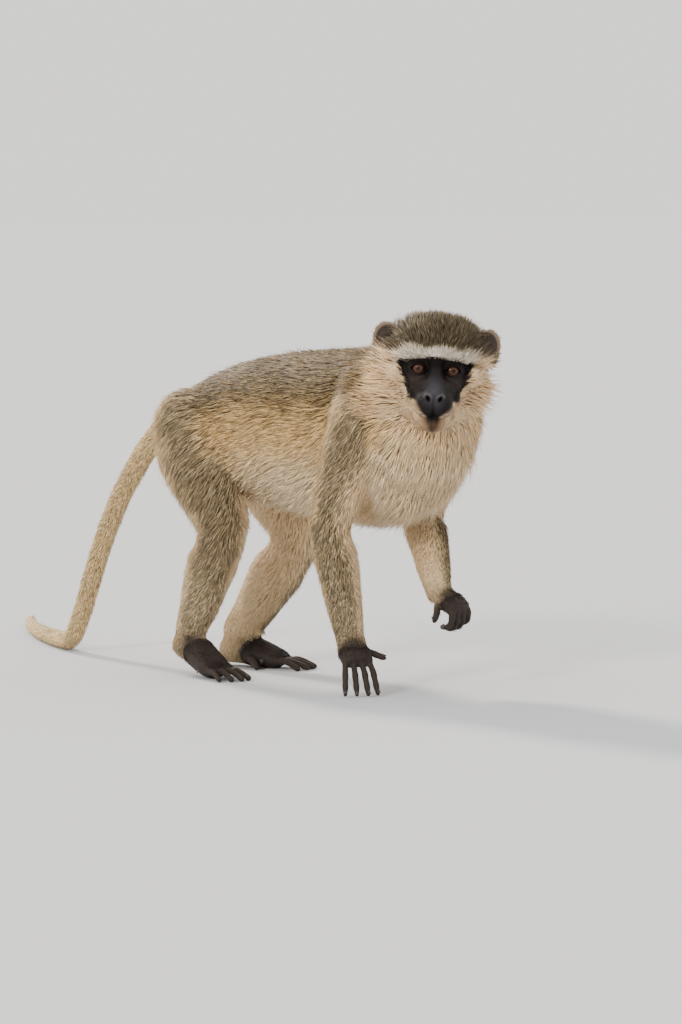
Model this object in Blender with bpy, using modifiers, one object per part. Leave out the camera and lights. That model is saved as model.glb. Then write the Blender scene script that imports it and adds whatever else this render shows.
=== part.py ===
"""A vervet monkey, modelled life-size and still.

It walks on three limbs with its left hand lifted, its tail trails on the ground behind it, and its face is turned
to its right. The solids hold the outline of the whole coat. The flesh is built as one closed form, then parted
into the head, neck, trunk, limbs and tail by thin cuts. Fingers, toes, ears and eyes are set into it.

Metres. +X is the way the trunk points, +Y is the animal's left and +Z is up. The ground is at Z = 0.
"""

import math

import bmesh
import bpy
from mathutils import Matrix, Vector
from mathutils.bvhtree import BVHTree

# Bones of a small adult, from joint to joint.
HUMERUS = 0.089
FOREARM = 0.0965
FEMUR = 0.108
SHANK = 0.113
PALM = 0.028
SOLE = 0.062
TAIL_ON_GROUND = 0.30
HEAD_HALF_BREADTH = 0.053
EYE_RADIUS = 0.0085
EAR_RADIUS = 0.0155
EAR_THICKNESS = 0.0026

GAP = 0.0003
VOXEL = 0.0026
SMOOTHING = 5
COARSE_TRIANGLES = 1850
FINE_TRIANGLES = 2750
TAIL_CUTS = (4, 11, 18, 26, 33)
TREAD = 0.0008
RIGHT, LEFT = -1, 1
SIDES = {"right": RIGHT, "left": LEFT}

# The way each limb swings: degrees ahead of straight down, then degrees out from the midline.
ARM_SWING = {RIGHT: ((-20, 8), (6, -8)), LEFT: ((-30, 10), (45, -25))}
LEG_SWING = {RIGHT: ((35, 11), (-34, -6)), LEFT: ((24, 10), (-37, -8))}
SHOULDERS = {RIGHT: Vector((0.090, -0.044, 0.224)), LEFT: Vector((0.087, 0.048, 0.220))}
HIPS = {RIGHT: Vector((-0.133, -0.034, 0.213)), LEFT: Vector((-0.141, 0.034, 0.211))}

# How deep each lower limb is from front to back, as half depths near its middle and at its end.
FOREARM_DEPTH = {RIGHT: (0.0195, 0.0135), LEFT: (0.0175, 0.0105)}
SHANK_DEPTH = {RIGHT: (0.0230, 0.0145), LEFT: (0.0255, 0.0160)}

HEAD_CENTRE = Vector((0.1493, -0.0228, 0.268))
HEAD_TURN = -42
HEAD_TILT = -4.5
EYE_PLACE = Vector((0.0278, 0.0130, 0.0014))
EAR_PLACE = Vector((-0.0100, 0.0370, 0.0175))

# Digits: name, place across from the middle of the palm or sole towards its inner edge, inward splay in degrees,
# and length.
FINGERS = (
    ("index_finger", 0.0105, 8, 0.024),
    ("middle_finger", 0.0035, 2, 0.027),
    ("ring_finger", -0.0035, -5, 0.026),
    ("little_finger", -0.0105, -13, 0.021),
)
THUMB = ("thumb", 0.0125, 38, 0.016)
TOES = (
    ("second_toe", 0.0107, 6, 0.026),
    ("third_toe", 0.0036, 1, 0.030),
    ("fourth_toe", -0.0036, -4, 0.029),
    ("fifth_toe", -0.0107, -10, 0.024),
)
BIG_TOE = ("big_toe", 0.0110, 36, 0.027)
# Half breadths of a digit inside the palm, at its knuckle, between its joints, at its last joint and at its tip.
DIGIT_GIRTHS = (0.0030, 0.0032, 0.0029, 0.0030, 0.0025)

X_AXIS = Vector((1, 0, 0))
Y_AXIS = Vector((0, 1, 0))
Z_AXIS = Vector((0, 0, 1))


# ---------------------------------------------------------------- drawing helpers


def clear_scene():
    for old in list(bpy.data.objects):
        bpy.data.objects.remove(old)


def collection(name, shown=False):
    made = bpy.data.collections.new(name)
    made.hide_render = not shown
    bpy.context.scene.collection.children.link(made)
    return made


def add_object(name, shape, folder):
    """An object in the folder, from a bmesh, which is freed."""
    mesh = bpy.data.meshes.new(name)
    shape.to_mesh(mesh)
    shape.free()
    made = bpy.data.objects.new(name, mesh)
    folder.objects.link(made)
    if folder.hide_render:
        made.hide_render = True
        made.display_type = "WIRE"
    return made


def evaluated_mesh(source):
    """The object's mesh with its modifiers applied."""
    graph = bpy.context.evaluated_depsgraph_get()
    return bpy.data.meshes.new_from_object(source.evaluated_get(graph))


def apply_modifiers(target):
    """The object keeps the shape that its modifiers give it, and loses them."""
    mesh = evaluated_mesh(target)
    target.modifiers.clear()
    target.data = mesh


def spline(rows, steps):
    """The rows of numbers, with smooth rows between them on a Catmull-Rom curve."""
    last = len(rows) - 1
    smooth = []
    for i in range(last):
        around = rows[max(i - 1, 0)], rows[i], rows[i + 1], rows[min(i + 2, last)]
        for k in range(steps):
            t = k / steps
            smooth.append(
                [
                    0.5 * (2 * b + (c - a) * t + (2 * a - 5 * b + 4 * c - d) * t**2 + (3 * b - a - 3 * c + d) * t**3)
                    for a, b, c, d in zip(*around)
                ]
            )
    smooth.append(list(rows[last]))
    return smooth


def add_tube(shape, stations, steps=3, sides=14, level=Y_AXIS, grow=0.0, blunt=0.8, end_rings=(30, 60), open_end=False):
    """A tube with round ends. A station is (centre, half breadth along level, half depth across it)."""
    rows = spline([[*centre, breadth, depth] for centre, breadth, depth in stations], steps)
    centres = [Vector(row[:3]) for row in rows]
    rings = []
    for i, row in enumerate(rows):
        ahead = (centres[min(i + 1, len(rows) - 1)] - centres[max(i - 1, 0)]).normalized()
        across = (level - ahead * level.dot(ahead)).normalized()
        rings.append((centres[i], across * (row[3] + grow), ahead.cross(across) * (row[4] + grow), ahead))

    def end_of(ring, way):
        centre, across, up, ahead = ring
        reach = blunt * min(across.length, up.length)
        swelling = [math.radians(angle) for angle in end_rings]
        made = [
            (centre + ahead * way * reach * math.sin(a), across * math.cos(a), up * math.cos(a), ahead)
            for a in swelling
        ]
        return made, centre + ahead * way * reach

    first, start_pole = end_of(rings[0], -1)
    last, end_pole = ([], None) if open_end else end_of(rings[-1], 1)
    turns = [2 * math.pi * k / sides for k in range(sides)]
    loops = [
        [shape.verts.new(centre + across * math.cos(t) + up * math.sin(t)) for t in turns]
        for centre, across, up, _ in [*reversed(first), *rings, *last]
    ]
    faces = []
    for low, high in zip(loops, loops[1:]):
        for k in range(sides):
            n = (k + 1) % sides
            faces.append(shape.faces.new((low[k], low[n], high[n], high[k])))
    for loop, pole in ((loops[0], start_pole), (loops[-1], end_pole)):
        if pole is not None:
            tip = shape.verts.new(pole)
            faces += [shape.faces.new((loop[k], loop[(k + 1) % sides], tip)) for k in range(sides)]
    bmesh.ops.recalc_face_normals(shape, faces=faces)


def add_ball(shape, centre, radii, frame=Matrix.Identity(4), turn=(0, 0, 0), segments=20, rings=12):
    """An ellipsoid, placed and turned in a frame."""
    spin = Matrix.Rotation(math.radians(turn[2]), 4, "Z")
    nod = Matrix.Rotation(math.radians(turn[1]), 4, "Y")
    roll = Matrix.Rotation(math.radians(turn[0]), 4, "X")
    size = Matrix.Diagonal((*radii, 1))
    place = frame @ Matrix.Translation(centre) @ spin @ nod @ roll @ size
    bmesh.ops.create_uvsphere(shape, u_segments=segments, v_segments=rings, radius=1, matrix=place)


def swing(start, length, ahead, out, side):
    """The far joint of a bone that hangs from start."""
    a, b = math.radians(ahead), math.radians(out)
    way = Vector((math.sin(a) * math.cos(b), side * math.sin(b), -math.cos(a) * math.cos(b)))
    return start + way * length


# ---------------------------------------------------------------- the pose, as joints in space

ELBOWS = {side: swing(SHOULDERS[side], HUMERUS, *ARM_SWING[side][0], side) for side in (RIGHT, LEFT)}
WRISTS = {side: swing(ELBOWS[side], FOREARM, *ARM_SWING[side][1], side) for side in (RIGHT, LEFT)}
KNEES = {side: swing(HIPS[side], FEMUR, *LEG_SWING[side][0], side) for side in (RIGHT, LEFT)}
ANKLES = {side: swing(KNEES[side], SHANK, *LEG_SWING[side][1], side) for side in (RIGHT, LEFT)}

HEAD_FRAME = (
    Matrix.Translation(HEAD_CENTRE)
    @ Matrix.Rotation(math.radians(HEAD_TURN), 4, "Z")
    @ Matrix.Rotation(math.radians(HEAD_TILT), 4, "X")
)


def limb_frame(ahead, dorsal):
    """(ahead, across, dorsal) as unit vectors: across points to the animal's left when ahead is +X and dorsal +Z."""
    ahead = ahead.normalized()
    across = dorsal.cross(ahead).normalized()
    return ahead, across, ahead.cross(across)


# The right palm stands raised above its fingers, turned a little outwards. The left one hangs from a bent wrist.
PALM_FRAMES = {
    RIGHT: limb_frame(Vector((0.62, -0.26, -0.74)), Vector((0.70, -0.30, 0.65))),
    LEFT: limb_frame(Vector((0.80, 0.14, -0.50)), Vector((0.50, 0.05, 0.86))),
}
# Each foot: the heading of the sole in degrees outwards, and how far the heel is raised.
FOOT_TURN = {RIGHT: 8, LEFT: 14}
HEEL_RISE = {RIGHT: 0.012, LEFT: 0.0}


def foot_frame(side):
    """(ball of the foot on the ground, level heading, across to the animal's left)."""
    turn = math.radians(FOOT_TURN[side])
    way = Vector((math.cos(turn), side * math.sin(turn), 0))
    ball = Vector((ANKLES[side].x, ANKLES[side].y, 0)) + way * (SOLE * 0.72)
    return ball, way, Z_AXIS.cross(way)


# ---------------------------------------------------------------- flesh: trunk, head, limbs and tail


def add_trunk(shape):
    """(X, top, bottom, half breadth) of the trunk with its coat, from the rump to the foot of the neck."""
    outline = (
        (-0.181, 0.225, 0.178, 0.025),
        (-0.165, 0.239, 0.167, 0.038),
        (-0.137, 0.254, 0.160, 0.048),
        (-0.095, 0.268, 0.153, 0.053),
        (-0.040, 0.277, 0.146, 0.055),
        (0.020, 0.281, 0.139, 0.057),
        (0.065, 0.284, 0.139, 0.057),
        (0.098, 0.284, 0.153, 0.052),
        (0.122, 0.276, 0.178, 0.040),
    )
    stations = [
        (Vector((x, 0, (top + bottom) / 2)), breadth, (top - bottom) / 2)
        for x, top, bottom, breadth in outline
    ]
    add_tube(shape, stations, sides=24)


def add_neck(shape):
    base = Vector((0.085, 0, 0.235))
    stations = (
        (base, 0.050, 0.050),
        (base.lerp(HEAD_CENTRE, 0.45) + Vector((0, 0, 0.002)), 0.046, 0.046),
        (HEAD_CENTRE + Vector((-0.012, 0.004, -0.002)), 0.043, 0.041),
    )
    add_tube(shape, stations, sides=20)
    # The fluffy white bib below the chin.
    add_ball(shape, Vector((0.122, -0.006, 0.212)), (0.034, 0.048, 0.040))


def add_head(shape):
    """The head with its coat, in a frame whose +X leaves the face, +Y is its left and the eyes are near Z = 0."""
    wide = HEAD_HALF_BREADTH
    level = HEAD_FRAME.to_3x3() @ Y_AXIS
    add_ball(shape, Vector((-0.010, 0, 0.005)), (0.047, 0.046, 0.043), HEAD_FRAME)
    add_ball(shape, Vector((0.011, 0, 0.015)), (0.026, 0.036, 0.025), HEAD_FRAME)
    for side in (RIGHT, LEFT):
        # Cheek ruff, swept back from the face.
        add_ball(shape, Vector((-0.006, side * (wide - 0.025), -0.008)), (0.030, 0.025, 0.034), HEAD_FRAME)
        add_ball(shape, Vector((0.008, side * 0.024, -0.025)), (0.024, 0.018, 0.020), HEAD_FRAME)
        # The brow ridge over each eye, and the cheekbone under it.
        add_ball(shape, Vector((0.0300, side * 0.0150, 0.0150)), (0.0085, 0.0165, 0.0080), HEAD_FRAME)
        add_ball(shape, Vector((0.0260, side * 0.0175, -0.0105)), (0.0100, 0.0110, 0.0100), HEAD_FRAME)
    # The bridge of the nose, the muzzle with its upper lip, and the lower jaw.
    bridge = (
        (Vector((0.0310, 0, 0.0120)), 0.0065, 0.0080),
        (Vector((0.0400, 0, -0.0020)), 0.0060, 0.0070),
        (Vector((0.0520, 0, -0.0130)), 0.0070, 0.0070),
        (Vector((0.0600, 0, -0.0185)), 0.0070, 0.0055),
    )
    muzzle = (
        (Vector((0.0180, 0, -0.0130)), 0.0190, 0.0170),
        (Vector((0.0350, 0, -0.0160)), 0.0185, 0.0140),
        (Vector((0.0500, 0, -0.0225)), 0.0165, 0.0115),
        (Vector((0.0590, 0, -0.0260)), 0.0135, 0.0090),
    )
    jaw = (
        (Vector((0.0060, 0, -0.0310)), 0.0250, 0.0160),
        (Vector((0.0350, 0, -0.0335)), 0.0175, 0.0130),
        (Vector((0.0500, 0, -0.0370)), 0.0130, 0.0090),
    )
    for stations in (bridge, muzzle, jaw):
        add_tube(shape, [(HEAD_FRAME @ c, b, d) for c, b, d in stations], level=level)


def add_arm(shape, side):
    shoulder, elbow, wrist = SHOULDERS[side], ELBOWS[side], WRISTS[side]
    middle, end = FOREARM_DEPTH[side]
    upper = (
        (shoulder + Vector((-0.012, -side * 0.010, 0.030)), 0.020, 0.034),
        (shoulder + Vector((0, 0, 0.004)), 0.026, 0.036),
        (shoulder.lerp(elbow, 0.5), 0.0225, 0.0265),
        (shoulder.lerp(elbow, 0.85), 0.0185, 0.0205),
        (elbow.lerp(wrist, 0.06) + Vector((-0.002, 0, 0)), 0.0180, 0.0195),
        (elbow.lerp(wrist, 0.35), 0.0175, middle),
        (elbow.lerp(wrist, 0.72), 0.0150, 0.45 * middle + 0.55 * end),
        (wrist, 0.0120, end),
    )
    add_tube(shape, upper, sides=16)
    ahead, across, _ = PALM_FRAMES[side]
    palm = (
        (wrist - ahead * 0.004, 0.0125, 0.0110),
        (wrist + ahead * PALM * 0.45, 0.0140, 0.0085),
        (wrist + ahead * PALM * 0.92, 0.0150, 0.0070),
    )
    add_tube(shape, palm, level=across, blunt=0.5)


def add_leg(shape, side):
    hip, knee, ankle = HIPS[side], KNEES[side], ANKLES[side]
    middle, end = SHANK_DEPTH[side]
    stations = (
        (hip + Vector((-0.017, 0, 0.007)), 0.026, 0.032),
        (hip.lerp(knee, 0.22) + Vector((-0.011, 0, 0)), 0.0300, 0.0400),
        (hip.lerp(knee, 0.55) + Vector((-0.005, 0, 0)), 0.0270, 0.0340),
        (hip.lerp(knee, 0.90) + Vector((-0.001, 0, 0)), 0.0215, 0.0255),
        (knee.lerp(ankle, 0.14) + Vector((-0.002, 0, 0)), 0.0205, 0.0230),
        (knee.lerp(ankle, 0.40) + Vector((-0.003, 0, 0)), 0.0190, middle),
        (knee.lerp(ankle, 0.72), 0.0155, 0.45 * middle + 0.55 * end),
        (ankle + Vector((0, 0, 0.004)), 0.0125, end),
    )
    add_tube(shape, stations, sides=16)
    ball, way, across = foot_frame(side)
    rise = Z_AXIS * HEEL_RISE[side]
    heel = Vector((ankle.x, ankle.y, 0)) - way * 0.010
    foot = (
        (heel + rise * 1.1 + Z_AXIS * 0.0125, 0.0115, 0.0130),
        (heel.lerp(ball, 0.35) + rise * 0.7 + Z_AXIS * 0.0145, 0.0130, 0.0140),
        (heel.lerp(ball, 0.70) + rise * 0.25 + Z_AXIS * 0.0110, 0.0145, 0.0115),
        (ball + Z_AXIS * 0.0078, 0.0155, 0.0085),
    )
    add_tube(shape, foot, level=across, blunt=0.6)


def tail_stations():
    """(centre, radius) from the rump, down in an arch, and along the ground in a lazy curve."""
    hanging = [
        (Vector((-0.162, 0.000, 0.220)), 0.0150),
        (Vector((-0.206, 0.000, 0.212)), 0.0125),
        (Vector((-0.244, 0.000, 0.183)), 0.0110),
        (Vector((-0.275, 0.000, 0.146)), 0.0105),
        (Vector((-0.298, 0.000, 0.109)), 0.0103),
        (Vector((-0.317, 0.000, 0.070)), 0.0102),
        (Vector((-0.333, 0.001, 0.036)), 0.0100),
        (Vector((-0.353, 0.006, 0.0125)), 0.0096),
    ]
    lying = []
    spot, way = Vector((-0.381, 0.017, 0)), 156.0
    pieces = 6
    for k in range(pieces):
        radius = 0.0092 - 0.0036 * k / (pieces - 1)
        lying.append((spot + Z_AXIS * (radius - TREAD), radius))
        turn = math.radians(way)
        spot = spot + Vector((math.cos(turn), math.sin(turn), 0)) * TAIL_ON_GROUND / pieces
        way -= 4.0
    return hanging + lying


def flesh(folder):
    """All of the flesh but the digits, as one smooth closed form."""
    shape = bmesh.new()
    add_trunk(shape)
    add_neck(shape)
    add_head(shape)
    for side in (RIGHT, LEFT):
        add_arm(shape, side)
        add_leg(shape, side)
    add_tube(shape, [(centre, radius, radius) for centre, radius in tail_stations()])
    whole = add_object("flesh", shape, folder)
    remesh = whole.modifiers.new("join", "REMESH")
    remesh.mode = "VOXEL"
    remesh.voxel_size = VOXEL
    soften = whole.modifiers.new("soften", "SMOOTH")
    soften.factor = 0.5
    soften.iterations = SMOOTHING
    apply_modifiers(whole)
    return whole


def faceted(whole, name, triangles, folder):
    """The flesh again, with about so many flat facets."""
    copy = bpy.data.objects.new(name, whole.data.copy())
    folder.objects.link(copy)
    facets = copy.modifiers.new("facets", "DECIMATE")
    facets.ratio = triangles / (2 * len(copy.data.polygons))
    apply_modifiers(copy)
    return copy


# ---------------------------------------------------------------- digits, ears and eyes


def digit_joints(side, limb, name, place, splay, length):
    """The centres along a digit, from inside the palm or sole to its tip."""
    inner = -side
    tip_height = DIGIT_GIRTHS[-1] * 1.1 - TREAD
    if limb == "foot":
        ball, way, across = foot_frame(side)
        heading = (way + across * inner * math.tan(math.radians(splay))).normalized()
        root = ball + across * inner * place + Z_AXIS * 0.0068 + way * 0.004
        if name == "big_toe":
            root -= way * SOLE * 0.48
            root += Z_AXIS * (0.0015 + HEEL_RISE[side] * 0.25)
        arch = 0.0030
    else:
        ahead, across, dorsal = PALM_FRAMES[side]
        root = WRISTS[side] + ahead * PALM * 0.96 + across * inner * place
        if name == "thumb":
            root = WRISTS[side] + ahead * PALM * 0.42 + across * inner * place - dorsal * 0.003
        heading = (ahead + across * inner * math.tan(math.radians(splay))).normalized()
        arch = 0.0042
    if limb == "hand" and side == LEFT:
        # The lifted hand: each phalanx turns further towards the palm.
        bends, shares = ((25, 55, 70) if name == "thumb" else (62, 118, 160)), (0.44, 0.32, 0.24)
        centres = [root]
        for bend, share in zip(bends, shares):
            angle = math.radians(bend)
            centres.append(centres[-1] + (heading * math.cos(angle) - dorsal * math.sin(angle)) * length * share)
        start, knuckle, last, tip = centres
        return [start - heading * 0.006, start, knuckle, last, tip]
    level_way = Vector((heading.x, heading.y, 0)).normalized()
    if name == "thumb":
        tip = root + heading * length * 0.6 + level_way * length * 0.5
        return [root - heading * 0.005, root, root.lerp(tip, 0.4), root.lerp(tip, 0.72), tip]
    drop = root.z - tip_height
    tip = root + level_way * math.sqrt(max(length**2 - drop**2, (0.55 * length) ** 2))
    tip.z = tip_height
    inside = root - (ahead if limb == "hand" else level_way) * 0.006
    return [inside, root, root.lerp(tip, 0.42) + Z_AXIS * arch, root.lerp(tip, 0.76) + Z_AXIS * arch * 0.45, tip]


def add_digit(shape, side, limb, digit, grow=0.0):
    joints = digit_joints(side, limb, *digit)
    level = foot_frame(side)[2] if limb == "foot" else PALM_FRAMES[side][1]
    girth = 1.25 if digit[0] in ("thumb", "big_toe") else 1.0
    stations = [(centre, half * girth, half * girth * 1.1) for centre, half in zip(joints, DIGIT_GIRTHS)]
    add_tube(shape, stations, steps=1, sides=6, level=level, grow=grow * 1.5, blunt=0.9, end_rings=(40,))
    bmesh.ops.triangulate(shape, faces=shape.faces, quad_method="FIXED")


def add_ear(shape, side, grow=0.0):
    """A shallow cup with a soft corner at its top, turned out and back from the head."""
    facing = (
        HEAD_FRAME
        @ Matrix.Translation(Vector((EAR_PLACE.x, side * EAR_PLACE.y, EAR_PLACE.z)))
        @ Matrix.Rotation(math.radians(side * 28), 4, "Z")
        @ Matrix.Rotation(math.radians(-8), 4, "Y")
    )
    made = bmesh.ops.create_uvsphere(shape, u_segments=12, v_segments=6, radius=1)["verts"]
    half = EAR_THICKNESS / 2
    for vert in made:
        x, y, z = vert.co
        corner = 1 + 0.16 * max(0, z) * max(0, side * y)
        y, z = y * corner * 0.92, z * corner * 1.05
        cup = 0.30 * EAR_RADIUS * (y * y + z * z)
        reach = EAR_RADIUS + grow * 1.5
        vert.co = facing @ Vector((x * (half + grow * 3) + cup, y * reach, z * reach))
    bmesh.ops.triangulate(shape, faces=shape.faces, quad_method="FIXED")


def add_eye(shape, side, grow=0.0):
    place = Vector((EYE_PLACE.x, side * EYE_PLACE.y, EYE_PLACE.z))
    add_ball(shape, place, [EYE_RADIUS + grow] * 3, HEAD_FRAME, turn=(0, 90, 0), segments=10, rings=7)


# ---------------------------------------------------------------- parting the flesh


def thin_blade(name, shape, folder):
    """A cutter as thin as the gap between two nodes, along a curved surface."""
    blade = add_object(name, shape, folder)
    thickness = blade.modifiers.new("thickness", "SOLIDIFY")
    thickness.thickness = GAP
    thickness.offset = 0
    apply_modifiers(blade)


def socket_cut(name, stations, folder):
    """A blade in the shape of a deep cup, open at its far end, which parts a limb from the trunk."""
    shape = bmesh.new()
    add_tube(shape, stations, steps=2, sides=14, open_end=True)
    thin_blade(name, shape, folder)


def disc_cut(name, centre, facing, radius, folder):
    """A thin round blade across the flesh."""
    shape = bmesh.new()
    turn = facing.to_track_quat("Z", "Y").to_matrix().to_4x4()
    bmesh.ops.create_cone(
        shape,
        cap_ends=True,
        segments=20,
        radius1=radius,
        radius2=radius,
        depth=GAP,
        matrix=Matrix.Translation(centre) @ turn,
    )
    return add_object(name, shape, folder)


def limb_root_cuts(folder):
    for word, side in SIDES.items():
        shoulder, elbow = SHOULDERS[side], ELBOWS[side]
        out = Vector((0, side, 0))
        arm = (
            (shoulder + out * 0.026 + Vector((-0.010, 0, 0.010)), 0.033, 0.046),
            (shoulder.lerp(elbow, 0.55) + out * 0.016 + Vector((-0.002, 0, 0)), 0.035, 0.048),
            (elbow + Vector((0.008, 0, -0.018)), 0.036, 0.048),
        )
        socket_cut(f"{word}_shoulder_cut", arm, folder)
        hip, knee = HIPS[side], KNEES[side]
        leg = (
            (hip + out * 0.018 + Vector((-0.014, 0, 0.008)), 0.033, 0.056),
            (hip.lerp(knee, 0.45) + out * 0.012 + Vector((-0.012, 0, 0)), 0.036, 0.056),
            (knee + out * 0.004 + Vector((-0.020, 0, -0.012)), 0.036, 0.052),
        )
        socket_cut(f"{word}_hip_cut", leg, folder)


def ground(folder):
    shape = bmesh.new()
    depth = 0.05
    place = Matrix.Translation((-0.2, 0.1, -depth / 2)) @ Matrix.Diagonal((1.2, 0.8, depth, 1))
    bmesh.ops.create_cube(shape, size=1, matrix=place)
    return add_object("ground", shape, folder)


def cut_mesh(piece, cutters):
    """The mesh of a piece less a collection of cutters."""
    cuts = piece.modifiers.new("cuts", "BOOLEAN")
    cuts.operand_type = "COLLECTION"
    cuts.collection = cutters
    cuts.operation = "DIFFERENCE"
    cuts.solver = "EXACT"
    mesh = evaluated_mesh(piece)
    piece.modifiers.remove(cuts)
    return mesh


def loose_pieces(mesh):
    """One bmesh for each connected piece of a mesh, largest first."""
    shape = bmesh.new()
    shape.from_mesh(mesh)
    left = set(shape.verts)
    groups = []
    while left:
        front = [left.pop()]
        group = set(front)
        while front:
            for edge in front.pop().link_edges:
                for vert in edge.verts:
                    if vert in left:
                        left.remove(vert)
                        group.add(vert)
                        front.append(vert)
        groups.append({vert.index for vert in group})
    shape.free()
    pieces = []
    for group in groups:
        piece = bmesh.new()
        piece.from_mesh(mesh)
        piece.verts.ensure_lookup_table()
        bmesh.ops.delete(piece, geom=[vert for vert in piece.verts if vert.index not in group], context="VERTS")
        pieces.append(piece)
    return sorted(pieces, key=lambda piece: -abs(piece.calc_volume()))


def part(piece, cutters, labels, folder):
    """The pieces of a solid left by its cutters, as objects named by the label whose place each one holds."""
    pieces = loose_pieces(cut_mesh(piece, cutters))
    named = {}
    for label, place in labels.items():
        trees = [BVHTree.FromBMesh(loose) for loose in pieces]
        distances = [tree.find_nearest(place)[3] for tree in trees]
        nearest = min(range(len(pieces)), key=distances.__getitem__)
        if nearest in named.values():
            raise ValueError(f"{label} and another label share a piece")
        named[label] = nearest
    crumb = 2e-8
    for i, loose in enumerate(pieces):
        if i not in named.values() and abs(loose.calc_volume()) > crumb:
            loose.verts.ensure_lookup_table()
            place = tuple(loose.verts[0].co)
            raise ValueError(f"a piece of {loose.calc_volume() * 1e9:.0f} cubic mm near {place} has no label")
    return {label: add_object(f"cut_{label}", pieces[i].copy(), folder) for label, i in named.items()}


# ---------------------------------------------------------------- the finished nodes

COLOURS = {
    "olive": ((0.19, 0.15, 0.10), 0.90),
    "cream": ((0.62, 0.50, 0.36), 0.90),
    "grizzled": ((0.30, 0.25, 0.19), 0.90),
    "dark": ((0.035, 0.028, 0.025), 0.65),
    "ear": ((0.09, 0.08, 0.08), 0.70),
    "amber": ((0.14, 0.045, 0.015), 0.10),
}


FINISHES = {
    "chest": "olive",
    "abdomen": "olive",
    "hindquarters": "olive",
    "neck": "cream",
    **{f"tail_{k + 1}": "cream" for k in range(len(TAIL_CUTS))},
}


def coat(node, finish):
    colour, roughness = COLOURS[finish]
    material = bpy.data.materials.new(f"{node.name}_{finish}")
    material.use_nodes = True
    shader = material.node_tree.nodes["Principled BSDF"]
    shader.inputs["Base Color"].default_value = (*colour, 1)
    shader.inputs["Roughness"].default_value = roughness
    shader.inputs["Metallic"].default_value = 0
    node.data.materials.clear()
    node.data.materials.append(material)


def finish_node(name, mesh, folder, finish):
    """A node of the model from a finished mesh, with sliver faces tidied away."""
    shape = bmesh.new()
    shape.from_mesh(mesh)
    bmesh.ops.dissolve_degenerate(shape, dist=1e-6, edges=shape.edges)
    bmesh.ops.triangulate(shape, faces=shape.faces)
    node = add_object(name, shape, folder)
    coat(node, finish)
    return node


def core_cuts(folder):
    """The neck, chest, loin and tail cuts, and the deep cup that parts the head from the neck."""
    shape = bmesh.new()
    add_ball(shape, Vector((0.014, 0, -0.001)), (0.075, 0.064, 0.059), HEAD_FRAME, segments=16, rings=10)
    thin_blade("head_cut", shape, folder)
    disc_cut("neck_cut", Vector((0.092, 0, 0.232)), Vector((0.88, 0, 0.48)), 0.085, folder)
    disc_cut("chest_cut", Vector((0.020, 0, 0.21)), X_AXIS, 0.10, folder)
    disc_cut("loin_cut", Vector((-0.085, 0, 0.21)), X_AXIS, 0.10, folder)
    for k, (start, centre, end) in enumerate(tail_cut_places()):
        disc_cut(f"tail_cut_{k + 1}", centre, end - start, 0.024, folder)


def tail_cut_places():
    """(a place before, the place, a place after) for the root of the tail and each joint between its lengths."""
    rows = [Vector(row[:3]) for row in spline([[*centre, radius] for centre, radius in tail_stations()], 3)]
    return [(rows[i - 1], rows[i], rows[i + 1]) for i in TAIL_CUTS]


def part_animal(whole, folder):
    """Every piece of the faceted flesh by name."""
    root_cuts = collection(f"{whole.name}_root_cuts")
    limb_root_cuts(root_cuts)
    ground(root_cuts)
    labels = {"core": Vector((0, 0, 0.21))}
    for word, side in SIDES.items():
        labels[f"{word}_arm"] = ELBOWS[side]
        labels[f"{word}_leg"] = KNEES[side]
    pieces = part(whole, root_cuts, labels, folder)
    made = {}
    cuts = collection(f"{whole.name}_core_cuts")
    core_cuts(cuts)
    tail = [centre for _, centre, _ in tail_cut_places()] + [tail_stations()[-1][0]]
    labels = {
        "head": HEAD_FRAME @ Vector((0, 0, 0)),
        "neck": Vector((0.122, -0.006, 0.200)),
        "chest": Vector((0.060, 0, 0.21)),
        "abdomen": Vector((-0.030, 0, 0.21)),
        "hindquarters": Vector((-0.130, 0, 0.21)),
    }
    for k in range(len(tail) - 1):
        labels[f"tail_{k + 1}"] = tail[k].lerp(tail[k + 1], 0.3)
    made.update(part(pieces["core"], cuts, labels, folder))
    for word, side in SIDES.items():
        shoulder, elbow, wrist = SHOULDERS[side], ELBOWS[side], WRISTS[side]
        cuts = collection(f"{whole.name}_{word}_arm_cuts")
        bend = (elbow - shoulder).normalized() + (wrist - elbow).normalized()
        disc_cut(f"{word}_elbow_cut", elbow, bend, 0.040, cuts)
        ahead = PALM_FRAMES[side][0]
        disc_cut(f"{word}_wrist_cut", wrist, (wrist - elbow).normalized() + ahead, 0.030, cuts)
        labels = {
            f"{word}_upper_arm": shoulder.lerp(elbow, 0.5),
            f"{word}_forearm": elbow.lerp(wrist, 0.5),
            f"{word}_hand": wrist + ahead * PALM * 0.5,
        }
        made.update(part(pieces[f"{word}_arm"], cuts, labels, folder))
        hip, knee, ankle = HIPS[side], KNEES[side], ANKLES[side]
        cuts = collection(f"{whole.name}_{word}_leg_cuts")
        bend = (knee - hip).normalized() + (ankle - knee).normalized()
        disc_cut(f"{word}_knee_cut", knee, bend, 0.050, cuts)
        ball, way, _ = foot_frame(side)
        disc_cut(f"{word}_ankle_cut", ankle + Z_AXIS * 0.009, Z_AXIS, 0.034, cuts)
        labels = {
            f"{word}_thigh": hip.lerp(knee, 0.5),
            f"{word}_shank": knee.lerp(ankle, 0.5),
            f"{word}_foot": ball - way * SOLE * 0.3 + Z_AXIS * 0.012,
        }
        made.update(part(pieces[f"{word}_leg"], cuts, labels, folder))
    return made


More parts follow.
